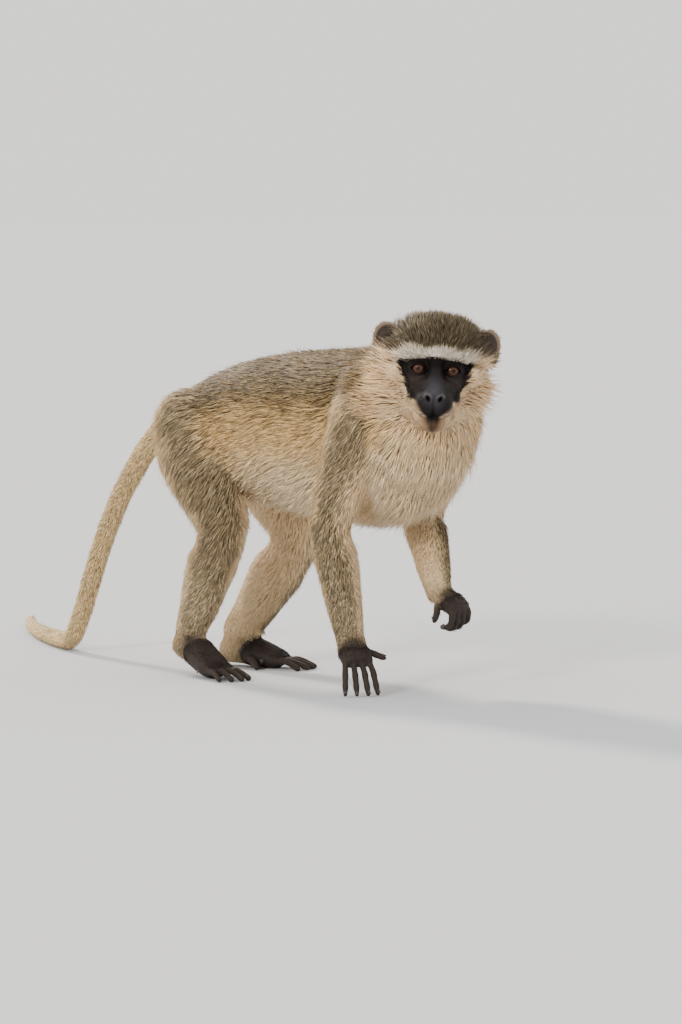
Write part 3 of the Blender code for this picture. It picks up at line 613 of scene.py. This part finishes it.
# Each ear: a thin cup with a rolled rim and a hollow at its heart.
ears = []
for side in (-1, 1):
    ear = new_ball(48, 24)
    x, y, z = places_of(ear).T
    corner = 1 + 0.22 * np.maximum(z, 0) * np.maximum(side * y, 0)
    y, z = y * corner * 0.92, z * corner * 1.05
    r = np.sqrt(y * y + z * z)
    wall = 0.0009 + 0.0007 * fade(0.72, 0.88, r)
    thick = np.clip(x * 6, -1, 1) * wall
    roll = 0.0012 * fade(0.70, 0.92, r)
    hollow = -0.0016 * bell((y, 0.34), (z + 0.15, 0.42))
    fold = 0.0008 * bell((r - 0.60, 0.07)) * fade(-0.4, 0.2, z)
    cup = 0.0042 * (y * y + z * z) + roll + hollow + fold
    ear_frame = (
        head_frame
        @ Matrix.Translation(Vector((ear_out / 1000, side * (ear_side / 1000), ear_up / 1000)))
        @ Matrix.Rotation(side * ear_turn, 4, "Z")
        @ Matrix.Rotation(math.radians(-8), 4, "Y")
    )
    shaped = np.stack([thick + cup, y * (ear_radius / 1000), z * (ear_radius / 1000)], 1)
    move_to(ear, carried(shaped, ear_frame))
    ears.append(ear)

paws = joined_copy("paws", paw_names)
apply_modifier(paws, "DISPLACE", strength=seam, mid_level=0.0)
join_into(paws, *digits)
apply_modifier(paws, "REMESH", mode="VOXEL", voxel_size=0.0009)
smoothed(paws, 7)
places = places_of(paws)
weights, along, _ = near_bones(places)
at_cut = added(weights * fade(0.32, 0.0, along), on_paws) + added(weights, on_lower_limbs)
move_to(paws, places - normals_of(paws) * 0.0018 * at_cut[:, None])
join_into(skin, paws, *ears)
apply_modifier(skin, "REMESH", mode="VOXEL", voxel_size=0.0011)
smoothed(skin, 2)

# The bare head, in millimetres, and the middle of the left eyeball in it.
eye_out, eye_side, eye_up = 27.8, 13.2, 0.3


def ball(q, centre, radii):
    return (lengths((q - centre) / radii) - 1) * min(radii)


def bar(q, start, end, first, last):
    """A rounded bar whose half breadth and half height go from the first pair to the last."""
    start, end = np.array(start, float), np.array(end, float)
    t, off = beside(q, start, end)
    way = (end - start) / np.linalg.norm(end - start)
    along = off @ way
    across = off - along[:, None] * way
    breadth, height = (first[k] + (last[k] - first[k]) * t for k in (0, 1))
    up = np.sqrt(np.maximum((across**2).sum(1) - across[:, 1] ** 2, 0))
    least = np.minimum(breadth, height)
    return (np.sqrt((across[:, 1] / breadth) ** 2 + (up / height) ** 2 + (along / least) ** 2) - 1) * least


def run_together(a, b, k):
    h = np.clip(0.5 + 0.5 * (b - a) / k, 0, 1)
    return b * (1 - h) + a * h - k * h * (1 - h)


def head_form(q):
    """Millimetres from each place to the bare head, below 0 inside it."""
    m = mirrored(q)
    form = ball(q, (-12, 0, 8), (45, 36, 34))
    jaw = run_together(
        bar(q, (8, 0, -31.5), (36, 0, -35.5), (22, 13), (15.5, 10.5)),
        bar(q, (36, 0, -35.5), (48, 0, -39.5), (15.5, 10.5), (11, 8)), 3,
    )
    for part, blend in (
        (bar(q, (30.5, 2, 12.0), (26, -19, 11.5), (4.8, 4.8), (4.4, 4.4)), 5),  # brows
        (bar(q, (30.5, -2, 12.0), (26, 19, 11.5), (4.8, 4.8), (4.4, 4.4)), 5),
        (bar(m, (27, 11, -8), (20, 25, -4), (6, 6), (6, 6)), 6),  # cheekbones
        (bar(q, (31, 0, 9), (46, 0, -7.5), (5.0, 5.0), (5.2, 5.4)), 5),  # nose
        (bar(q, (46, 0, -7.5), (58.5, 0, -17.3), (5.2, 5.4), (6.4, 5.4)), 3),
        (bar(q, (12, 0, -14), (36, 0, -19.5), (22, 17), (18.5, 13.5)), 6),  # muzzle
        (bar(q, (36, 0, -19.5), (51, 0, -23.5), (18.5, 13.5), (14.5, 10.5)), 3),
        (ball(m, (55.5, 6.2, -27.8), (9.0, 8.8, 8.2)), 4),  # upper lips
        (jaw, 3),
        (ball(q, (50.5, 0, -42.0), (8.5, 9, 6.8)), 3),  # chin
        (ball(m, (eye_out, eye_side, eye_up), (9.5, 9.5, 9.5)), 2.5),  # eyes
    ):
        form = run_together(form, part, blend)
    return form


def settle_head(piece):
    """Moves the head's hide onto the form above, and leaves the ears, nape and throat as they are."""
    places = places_of(piece)
    q = in_head(places)
    out, aside, up = mirrored(q).T
    held = fade(-10, 8, out) * fade(-46, -37, up + 0.5 * np.maximum(out - 15, 0))
    held *= 1 - fade(70, 80, lengths(q))
    ear_like = fade(31, 35, aside) * fade(-4, 4, up) * (1 - fade(4, 14, out))
    held *= 1 - ear_like
    rows = np.flatnonzero(held > 0.001)
    moved = q[rows]
    for _ in range(6):
        form = head_form(moved)
        slope = np.stack([head_form(moved + step) - form for step in np.eye(3) * 0.05], 1) / 0.05
        moved = moved - (form / np.maximum((slope**2).sum(1), 0.2))[:, None] * slope * 0.9
    places[rows] = from_head(q[rows] + (moved - q[rows]) * held[rows][:, None])
    move_to(piece, places)


def edit_where(piece, chosen, operator, **settings):
    """Edits the faces whose middles are chosen."""
    mesh = piece.data
    bpy.context.tool_settings.mesh_select_mode = (False, False, True)
    mesh.vertices.foreach_set("select", np.zeros(len(mesh.vertices), bool))
    mesh.edges.foreach_set("select", np.zeros(len(mesh.edges), bool))
    mesh.polygons.foreach_set("select", chosen(read(mesh.polygons, "center", 3).astype(float)))
    bpy.ops.object.mode_set(mode="EDIT")
    operator(**settings)
    bpy.ops.object.mode_set(mode="OBJECT")


def on_face(middles):
    out, aside, up = mirrored(in_head(middles)).T
    return (out > 14) & (aside < 31) & (up < 17) & (up > -52)


def at_features(middles):
    out, aside, up = mirrored(in_head(middles)).T
    eye = (np.abs(aside - 14) < 8.5) & (np.abs(up - 1) < 7.5) & (out > 26)
    nose = (out > 50) & (aside < 9.5) & (up < -11)
    return eye | nose


settle_head(skin)
edit_where(skin, on_face, bpy.ops.mesh.subdivide, number_cuts=1)
settle_head(skin)
edit_where(skin, at_features, bpy.ops.mesh.subdivide, number_cuts=1)
smoothed(skin, 1)
settle_head(skin)

# The lids, nostrils, lips and the folds about them, pressed into that form. The
# hide in the opening of the lids goes back, out of sight behind the eyeball.
half_opening, behind_eye = 5.9, 7.3
places = places_of(skin)
q = in_head(places)
out, aside, up = mirrored(q).T
rows = np.flatnonzero((out > 14) & (aside < 34) & (up < 22) & (up > -54))
m = mirrored(q[rows])
near_y, near_z = m[:, 1] - 14.0, m[:, 2] - 0.5
share = np.clip(1 - (np.abs(near_y) / half_opening) ** 2, 0, 1)
upper, lower = 3.0 * share**0.8, -3.3 * share**0.9
opening = np.minimum(upper - near_z, near_z - lower) - np.maximum(np.abs(near_y) - half_opening, 0)
front = (m[:, 0] > 26) & (np.abs(near_y) < 12) & (np.abs(near_z) < 12)
lift = np.zeros(len(rows))
lift += front * 0.45 * bell((opening + 0.75, 0.55))
lift -= front * 0.60 * bell((near_z - upper - 3.3, 0.6)) * (np.abs(near_y) < 9) * np.exp(-((near_y / 7) ** 4))
lift -= front * 0.50 * bell((lower - near_z - 2.6, 0.6)) * np.exp(-((near_y / 6) ** 4))
lift -= front * 0.45 * bell((lower - near_z - 5.0, 0.8)) * np.exp(-((near_y / 7.5) ** 4))
to_mouth = from_mouth(m)
lift -= 2.2 * bell((to_mouth, 1.0))
lift += 0.7 * bell((to_mouth - 2.6, 1.3))
nostril, wing = nostrils(m)
lift += 0.55 * wing - 3.2 * nostril
lift -= fade(48, 54, m[:, 0]) * 0.7 * bell((m[:, 1], 0.8)) * fade(-16, -19, m[:, 2])
moved = q[rows] + turned_into_head(normals_of(skin)[rows]) * lift[:, None]
back = eye_out + np.sqrt(np.maximum(behind_eye**2 - (m[:, 1] - eye_side) ** 2 - (m[:, 2] - eye_up) ** 2, 1))
moved[:, 0] += (back - moved[:, 0]) * (fade(-0.2, 0.35, opening) * front)
places[rows] = from_head(moved)
move_to(skin, places)


# The plainer parts of the face need fewer faces than the lids and nose, and
# the hide under the long coat needs few.
def under_long_coat(middles):
    q = in_head(middles)
    out, aside, up = mirrored(q).T
    away = lengths(q)
    face = (out > 8) & (aside < 34) & (up < 20) & (up > -55) & (away < 85)
    ear = (aside > 30) & (away < 75) & (up > -2)
    return ~face & ~ear & (added(near_bones(middles)[0], on_paws) < 0.3)


edit_where(skin, lambda middles: on_face(middles) & ~at_features(middles), bpy.ops.mesh.decimate, ratio=0.72)
edit_where(skin, under_long_coat, bpy.ops.mesh.decimate, ratio=0.045)
bpy.ops.object.shade_smooth()


# The hide carries the same markings as the coat, duller where hair covers it: painted shade under the coat.
def store_colours(mesh, colours):
    opaque = np.concatenate([colours, np.ones((*colours.shape[:-1], 1))], -1)
    layer = mesh.attributes.new("marking", "FLOAT_COLOR", "POINT")
    layer.data.foreach_set("color", opaque.astype(np.float32).ravel())


def store_shares(mesh, name, shares):
    mesh.attributes.new(name, "FLOAT", "POINT").data.foreach_set("value", shares.astype(np.float32))


places, normals = places_of(skin), normals_of(skin)
q = in_head(places)
out, aside, up = mirrored(q).T
on_paw = fade(0.35, 0.75, added(near_bones(places)[0], on_paws))
on_ear = ear_nearness(q)
bare = np.clip(bareness(q) * headness(places) + on_paw + on_ear, 0, 1)
ear_corner = 1 + 0.22 * np.maximum((up - ear_up) / ear_radius, 0) * np.maximum((aside - ear_side) / 12, 0)
ear_rim = fade(13.9, 14.8, np.hypot((aside - ear_side) / 0.83, up - ear_up) / ear_corner)
ear_back = fade(0.2, -0.3, turned_into_head(normals)[:, 0])
hide_colour = painted(
    markings(places, normals)[0],
    (on_ear, 70, 60, 56), (on_ear * ear_back * 0.8, 92, 79, 68), (on_ear * ear_rim * 0.5, 158, 136, 112),
)
# painted shade: where the hide is not bare its colour is darkened towards 0.62 of itself
store_colours(skin.data, over(hide_colour * (0.62 + 0.38 * bare[:, None]), hide_colour, bare))
store_shares(skin.data, "bare", bare)
edit_all(bpy.ops.uv.smart_project, angle_limit=math.radians(66), island_margin=0.001)


def add_node(tree, kind, sockets=None, **settings):
    node = tree.nodes.new("ShaderNode" + kind)
    for setting, value in settings.items():
        setattr(node, setting, value)
    for socket, value in (sockets or {}).items():
        node.inputs[socket].default_value = value
    return node


def stored(tree, name, output="Fac"):
    return add_node(tree, "Attribute", attribute_name=name).outputs[output]


def wire(tree, *pairs):
    for source, target in pairs:
        tree.links.new(source, target)


# Fine wrinkles and pores, on the hide and again on the nails.
wrinkles = bpy.data.node_groups.new("fine_wrinkles", "ShaderNodeTree")
for socket, kind in (("Vector", "Vector"), ("Scale", "Float"), ("Depth", "Float")):
    wrinkles.interface.new_socket(name=socket, in_out="INPUT", socket_type="NodeSocket" + kind)
wrinkles.interface.new_socket(name="Height", in_out="OUTPUT", socket_type="NodeSocketFloat")
given = wrinkles.nodes.new("NodeGroupInput").outputs
result = wrinkles.nodes.new("NodeGroupOutput").inputs
cracks = add_node(wrinkles, "TexVoronoi", feature="DISTANCE_TO_EDGE")
pores = add_node(wrinkles, "TexNoise", {"Detail": 4})
crack_shape = add_node(wrinkles, "MapRange", {"From Max": 0.12})
relief = add_node(wrinkles, "Math", operation="MULTIPLY_ADD")
wire(
    wrinkles,
    *((given[socket], node.inputs[socket]) for node in (cracks, pores) for socket in ("Vector", "Scale")),
    (cracks.outputs["Distance"], crack_shape.inputs["Value"]), (crack_shape.outputs["Result"], relief.inputs[0]),
    (given["Depth"], relief.inputs[1]), (pores.outputs["Fac"], relief.inputs[2]),
    (relief.outputs["Value"], result["Height"]),
)


def add_wrinkles(tree, shader, scale, depth, strength, height):
    place_node = add_node(tree, "TexCoord")
    group = add_node(tree, "Group", {"Scale": scale, "Depth": depth}, node_tree=wrinkles)
    bump = add_node(tree, "Bump", {"Strength": strength, "Distance": height})
    wire(
        tree, (place_node.outputs["Object"], group.inputs["Vector"]),
        (group.outputs["Height"], bump.inputs["Height"]), (bump.outputs["Normal"], shader.inputs["Normal"]),
    )


hide, tree, shader = new_finish("bare_hide", {"Specular IOR Level": 0.09})
add_wrinkles(tree, shader, 850, 0.5, 0.5, 0.0004)
roughness = add_node(tree, "MapRange", {"To Min": 0.9, "To Max": 0.52})
wire(
    tree,
    (stored(tree, "marking", "Color"), shader.inputs["Base Color"]),
    (stored(tree, "bare"), roughness.inputs["Value"]),
    (roughness.outputs["Result"], shader.inputs["Roughness"]),
)
skin.data.materials.clear()
skin.data.materials.append(hide)
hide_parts(*flesh_names)
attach(skin, body)

# --------------------------------------------------------------------- Eyes
# Deep-set balls with a bulging clear front, an amber-brown iris, a small
# round pupil and a nearly black white, wet all over. They sit behind the lids.

wet_eye, tree, shader = new_finish("wet_eye", {
    "Roughness": 0.5, "Specular IOR Level": 0.0, "Coat Weight": 1.0, "Coat Roughness": 0.02, "Coat IOR": 1.3,
})
rings = add_node(tree, "ValToRGB")
pupil, white = rings.color_ramp.elements
pupil.color, white.color = (*paint(4, 2, 2), 1), (*paint(26, 17, 14), 1)
for stop, colour in (
    (0.10, (6, 3, 2)), (0.14, (40, 20, 14)), (0.32, (80, 48, 31)), (0.46, (56, 30, 20)),
    (0.54, (32, 15, 11)), (0.62, (18, 11, 9)), (0.90, (26, 17, 14)),
):
    rings.color_ramp.elements.new(stop).color = (*paint(*colour), 1)
rays = add_node(tree, "TexNoise", {"Scale": 1800})
ray_depth = add_node(tree, "MapRange", {"To Min": 0.65, "To Max": 1.25})
tone = add_node(tree, "Mix", {0: 1.0}, data_type="RGBA", blend_type="MULTIPLY")
wire(
    tree,
    (add_node(tree, "TexCoord").outputs["Object"], rays.inputs["Vector"]),
    (rays.outputs["Fac"], ray_depth.inputs["Value"]),
    (stored(tree, "from_pupil"), rings.inputs["Fac"]),
    (rings.outputs["Color"], tone.inputs[6]), (ray_depth.outputs["Result"], tone.inputs[7]),
    (tone.outputs[2], shader.inputs["Base Color"]),
)

eyeball_radius = 8.3
for word, side in (("right", -1), ("left", 1)):
    eye = new_ball(64, 40)
    eye.name = f"{word}_eyeball"
    ball_shape = places_of(eye)[:, (2, 0, 1)]
    look = Vector((8.2, side * 0.95, 0.1)).normalized()
    across_look = Vector((0, 0, 1)).cross(look).normalized()
    looking = np.array((look, across_look, look.cross(across_look)))
    off_axis = np.arccos(np.clip(ball_shape[:, 0], -1, 1))
    bulge = 0.55 * (1 - fade(0.25, 0.72, off_axis))
    shaped = ball_shape * (eyeball_radius + bulge)[:, None] @ looking + np.array((eye_out, eye_side * side, eye_up))
    store_shares(eye.data, "from_pupil", off_axis)
    move_to(eye, from_head(shaped))
    bpy.ops.object.shade_smooth()
    eye.data.materials.append(wet_eye)
    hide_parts(f"{word}_eye")
    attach(eye, body)

# -------------------------------------------------------------------- Nails
# A small dark curved plate of horn on the back of every finger and toe tip,
# growing out of the skin.

nail_horn, tree, shader = new_finish("nail_horn", {"Base Color": (*paint(46, 38, 34), 1), "Roughness": 0.32})
add_wrinkles(tree, shader, 1600, 0.1, 0.15, 0.0002)
half_nail, nail_thickness, nail_wrap = 0.0024, 0.00035, math.radians(52)

skin_places = places_of(skin)
for paw_name in paw_names:
    side_word, part = paw_name.split("_")
    wrist, palm = paw_bones[paw_name]
    way = (palm - wrist) / np.linalg.norm(palm - wrist)
    back = np.array((0.5, 0, 1.0)) if part == "hand" else np.array((0, 0, 1.0))
    back = back - way * (back @ way)
    back /= np.linalg.norm(back)
    ending = ("finger", "thumb") if part == "hand" else ("toe",)
    nails = []
    for digit_name in [name for name in digit_names if name.startswith(side_word) and name.endswith(ending)]:
        points = places_of(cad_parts[digit_name])
        root_end, tip, heart = digit_lines[digit_name]
        last_bit = points[lengths(points - tip) < 0.009].mean(0)
        along_digit = (tip - last_bit) / np.linalg.norm(tip - last_bit)
        curl = heart - (root_end + tip) / 2
        up = back * 0.0025 + curl
        up -= along_digit * (up @ along_digit)
        up /= np.linalg.norm(up)
        near = skin_places[lengths(skin_places - tip) < 0.007]
        reach = ((near - tip) @ along_digit).max()
        seat = tip + along_digit * (reach - 0.0028)
        ring = near[np.abs((near - seat) @ along_digit) < 0.0014]
        to_heart = ring.mean(0) - seat
        seat += to_heart - along_digit * (to_heart @ along_digit)
        radius = np.percentile(lengths(ring - seat), 60)
        nail = new_ball(20, 12)
        x, y, z = places_of(nail).T
        angle = y * nail_wrap
        out = radius + 0.00005 + z * nail_thickness + np.maximum(x, 0) ** 2 * 0.0002
        shaped = seat + np.outer(x * half_nail, along_digit) + np.outer(np.cos(angle) * out, up)
        move_to(nail, shaped + np.outer(np.sin(angle) * out, np.cross(up, along_digit)))
        bpy.ops.object.shade_smooth()
        nails.append(nail)
    join_into(*nails)
    claws = bpy.context.object
    claws.name = f"{paw_name}_nails"
    edit_all(bpy.ops.mesh.normals_make_consistent, inside=False)
    claws.data.materials.append(nail_horn)
    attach(claws, body)

# --------------------------------------------------------------------- Coat
# Locks of hair over the hide, but not on the bare face, palms and soles, and
# thinly on the ears. Each lock is a tapered blade with a ridge, which rises
# from its root and bends to lie along the body, over the roots of the next.

coat_finish, tree, shader = new_finish("hair", {"Roughness": 0.6, "Specular IOR Level": 0.15})
wire(tree, (stored(tree, "marking", "Color"), shader.inputs["Base Color"]))

places, normals = places_of(skin), normals_of(skin)
hair, depth, breadth, way = coat_at(places)
colour, grizzle = markings(places, normals)
weights, along, off = near_bones(places)
head = headness(places)
q = in_head(places)
out, aside, up = mirrored(q).T
skin.data.calc_loop_triangles()
corners = read(skin.data.loop_triangles, "vertices", 3, np.int32)
corner_loops = read(skin.data.loop_triangles, "loops", 3, np.int32)
unwrap = read(skin.data.uv_layers.active.data, "uv", 2)
edge_a, edge_b = places[corners[:, 1]] - places[corners[:, 0]], places[corners[:, 2]] - places[corners[:, 0]]
areas = lengths(np.cross(edge_a, edge_b)) * 0.5e6
middles = places[corners].mean(1)
middle_normals = np.cross(edge_a, edge_b) / (areas[:, None] * 2e-6 + 1e-18)

# How many layers of hair lie over each other at each place.
layers = np.array([{"trunk": 8.5, "neck": 8.0, "tail": 4.6}.get(region, 6.6) for region in coat_regions])
lip_edge = np.interp(up, (-49, -45, -41, -36, -31, -27), (0, 4, 8, 6, 11, 16))
bare = bareness(q)
on_lip = bare * fade(-24, -27, up) * fade(-1, 3, aside - lip_edge)
past_wrist = (weights * along)[:, on_paws].sum(1)
back_of_paw = weights @ on_paws * fade(0.95, 0.55, past_wrist) * fade(2.5, 0.5, off[:, on_paws].min(1))
bare_face = bare * head
mask_edge = fade(0.35, 0.6, bare_face) * fade(0.99, 0.85, bare_face) * fade(-24, -18, up)
cover = weights @ (layers * ~on_paws) * (1 - head) + head * 7.0 * (1 - bare)
cover = cover + on_lip * 2.0 + mask_edge * 5.0 + back_of_paw * 2.2
on_digit = np.zeros(len(places))
for root_end, tip, heart in digit_lines.values():
    bend = heart * 2 - (root_end + tip) / 2
    for start, end, before in ((root_end, bend, 0), (bend, tip, 1)):
        t, offset = beside(places, start, end)
        near_digit = fade(0.0075, 0.0055, lengths(offset))
        on_digit = np.maximum(on_digit, near_digit * fade(0.1, 0.4, t + before))
cover *= 1 - on_digit
facing = np.abs(turned_into_head(normals)[:, 0])
ear_root = fade(0.55, 0.8, facing) * fade(27, 30, aside) * fade(11, 8, np.abs(out + 8))
cover *= 1 - ear_root * fade(2, 6, up)
near_ear = ear_nearness(q)
cover *= 1 - 0.75 * near_ear

# Where the coat is longer or deeper than its bones alone would have it: the
# lips, the edge of the mask, before the ears, the crown's sides and the belly.
hair, depth = hair + 1.2 * on_lip, depth + 0.5 * on_lip + 0.7 * mask_edge
by_ear = fade(22, 30, aside) * fade(11, 7, np.abs(out - 2))
by_ear = by_ear * fade(-12, -4, up) * fade(22, 16, up)
hair, depth = hair + 5 * by_ear, depth + 2.5 * by_ear
crown_side = fade(8, 20, aside) * fade(18, 27, up) * head
hair, depth = hair + 3.5 * crown_side, depth + 3.0 * crown_side
# The top and back of the crown: more wild locks stand up there, longer, and are painted golden as a painted rim of
# backlight.
rim_lit_crown = fade(22, 30, up) * fade(-6, -14, out) * fade(-44, -30, out) * head
underside = np.isin(coat_parts, ("rump", "loin", "chest", "throat"))
fringe = fade(-0.1, -0.6, normals[:, 2]) * weights[:, underside].sum(1) * (1 - head)
hair, depth = hair * (1 + 0.40 * fringe), depth * (1 + 0.8 * fringe)
hair, depth = hair * (1 - 0.75 * near_ear), depth * (1 - 0.8 * near_ear)

thickness = (cover / (hair * breadth))[corners].mean(1)
main_region = coat_regions[weights[corners].mean(1).argmax(1)]
sole = (middle_normals[:, 2] < -0.55) & (middles[:, 2] < 0.02)
thickness[sole & (main_region != "tail")] = 0

# One lock: three corners at its root, three at its bend and its tip. Metres,
# but for the ridge, which is metres for each millimetre of the lock's breadth.
rooted, off_ground, ridge, patch_size = 0.0006, 0.0003, 0.00035, 0.003
blade_faces = ((0, 1, 4, 3), (1, 2, 5, 4), (2, 0, 3, 5), (3, 4, 6), (4, 5, 6), (5, 3, 6), (2, 1, 0))
blade_corners = np.concatenate(blade_faces)
face_sizes = np.array([len(face) for face in blade_faces])
face_starts = np.cumsum(face_sizes) - face_sizes
blade_patch = np.array(((0, 0), (1, 0), (0.5, 0.1), (0, 0.5), (1, 0.5), (0.5, 0.6), (0.5, 1))) - 0.5


def leaning(way, towards, angle):
    return way * np.cos(angle)[:, None] + towards * np.sin(angle)[:, None]


def coat_piece(name, chosen, seed):
    """One joined mesh of locks, rooted on the chosen triangles of the hide."""
    dice = np.random.default_rng(seed)
    rows = np.flatnonzero(chosen & (thickness > 0.02))
    wanted = areas[rows] * thickness[rows] * 1.0
    count = int(wanted.sum())
    summed = np.cumsum(wanted)
    spots = rows[np.searchsorted(summed, (np.arange(count) + dice.random(count)) * summed[-1] / count * 0.99999)]
    a, b = dice.random((2, count))
    flip = a + b > 1
    a[flip], b[flip] = 1 - a[flip], 1 - b[flip]
    parts = np.stack([1 - a - b, a, b], 1)

    def at_root(values):
        shape = (count, 3) + (1,) * (values.ndim - 1)
        return (values[corners[spots]] * parts.reshape(shape)).sum(1)

    root, normal = at_root(places), unit(at_root(normals), 0)
    length = at_root(hair) * dice.uniform(0.72, 1.22, count)
    stand = at_root(depth)
    broad = at_root(breadth) * dice.uniform(0.7, 1.3, count)
    lie = at_root(way)
    tint, flecks, rim_lit = at_root(colour), at_root(grizzle), at_root(rim_lit_crown)
    lie = unit(lie - normal * (lie * normal).sum(1, keepdims=True))
    swerve = 0.22 * wander(root, 0.014, 11) + 0.16 * wander(root, 0.045, 12) + dice.normal(0, 0.13, count)
    lie = leaning(lie, np.cross(normal, lie), swerve)
    across = np.cross(normal, lie)
    wild = dice.random(count) < 0.04 + 0.10 * rim_lit
    length, broad = np.where(wild, length * (1.22 + 0.35 * rim_lit), length), np.where(wild, broad * 0.6, broad)
    # painted rim light: the wild locks on the crown's top are painted golden
    tint = painted(tint, (wild * rim_lit * 0.6, 214, 178, 126))
    mean_lift = np.arcsin(np.clip(stand * 1.15 / length, 0.05, 0.80)) * dice.uniform(0.75, 1.25, count)
    mean_lift = np.where(wild, mean_lift * 1.6, mean_lift)
    up_first, up_last = leaning(lie, normal, mean_lift * 1.5), leaning(lie, normal, mean_lift * 0.45)
    length = length[:, None] / 1000
    base = root - normal * rooted
    middle = base + up_first * length * 0.45
    tip = middle + up_last * length * 0.55
    half = across * broad[:, None] / 2000
    ridge_base = np.cross(up_first, across) * broad[:, None] * -ridge
    ridge_middle = np.cross(up_last, across) * broad[:, None] * -ridge
    points = np.stack([
        base - half * 0.7, base + half * 0.7, base + ridge_base,
        middle - half, middle + half, middle + ridge_middle, tip,
    ], 1)
    points[:, :, 2] = np.maximum(points[:, :, 2], off_ground)

    order = np.arange(count)[:, None]
    mesh = bpy.data.meshes.new(name)
    mesh.vertices.add(count * 7)
    mesh.vertices.foreach_set("co", points.astype(np.float32).ravel())
    mesh.loops.add(count * 24)
    mesh.loops.foreach_set("vertex_index", (blade_corners + order * 7).astype(np.int32).ravel())
    mesh.polygons.add(count * 7)
    mesh.polygons.foreach_set("loop_start", (face_starts + order * 24).astype(np.int32).ravel())
    mesh.polygons.foreach_set("loop_total", np.tile(face_sizes, count).astype(np.int32))
    mesh.polygons.foreach_set("use_smooth", np.ones(count * 7, bool))
    mesh.update()

    dark_tip = (dice.random(count) < 0.56 * flecks) & ~wild
    tone = (1 + (0.10 + 0.26 * flecks) * dice.normal(size=count)).clip(0.45, 1.7)
    tip_tone = np.where(dark_tip, 0.30, 1.06 + 0.30 * flecks)
    # Each lock is darker at its root, partly painted shade among the roots and partly the darker base of grizzled
    # hair.
    root_shade_and_band, bend_tone = (0.84 - 0.20 * flecks) * tone, tone * (1 + (tip_tone - 1) * 0.35)
    tones = np.stack([root_shade_and_band] * 3 + [bend_tone] * 3 + [tone * tip_tone], 1)
    warmth = dice.normal(size=(count, 1, 1)) * (0.4 + 0.6 * flecks[:, None, None])
    tufts = np.maximum(tint[:, None, :] * tones[:, :, None] * (1 + np.array((0.02, 0.0, -0.07)) * warmth), 0.004)
    tufts /= np.maximum(tufts.max(2, keepdims=True) / 0.92, 1)
    store_colours(mesh, tufts)
    root_uv = (unwrap[corner_loops[spots]] * parts[:, :, None]).sum(1)
    uvs = np.clip(root_uv[:, None, :] + blade_patch * patch_size, 0, 1)[:, blade_corners]
    mesh.uv_layers.new(name="OFBake").data.foreach_set("uv", uvs.astype(np.float32).ravel())
    piece = bpy.data.objects.new(name, mesh)
    bpy.context.scene.collection.objects.link(piece)
    mesh.materials.append(coat_finish)
    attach(piece, body)


on_head = head[corners].mean(1) > 0.5
_, head_side, head_up = in_head(middles).T
_, body_side, body_up = (middles - stance).T
crown, cheek = on_head & (head_up > 12), on_head & (head_up <= 12)
trunk = (main_region == "trunk") & ~on_head
flank = trunk & (body_up < 0.235)
for seed, (name, chosen, slot) in enumerate((
    ("crown_coat", crown, "limb_coat"),
    ("right_cheek_coat", cheek & (head_side < 0), "pale_coat"),
    ("left_cheek_coat", cheek & (head_side >= 0), "pale_coat"),
    ("bib_coat", (main_region == "neck") & ~on_head, "pale_coat"),
    ("right_flank_coat", flank & (body_side < 0), "back_coat"),
    ("left_flank_coat", flank & (body_side >= 0), "back_coat"),
    ("back_coat", trunk & (body_up >= 0.235), "back_coat"),
    *(
        (f"{limb}_coat", (main_region == limb) & ~on_head, "limb_coat")
        for limb in ("right_arm", "left_arm", "right_leg", "left_leg")
    ),
    ("tail_coat", main_region == "tail", "pale_coat"),
)):
    coat_piece(name, chosen, 100 + seed)

bpy.context.view_layer.update()
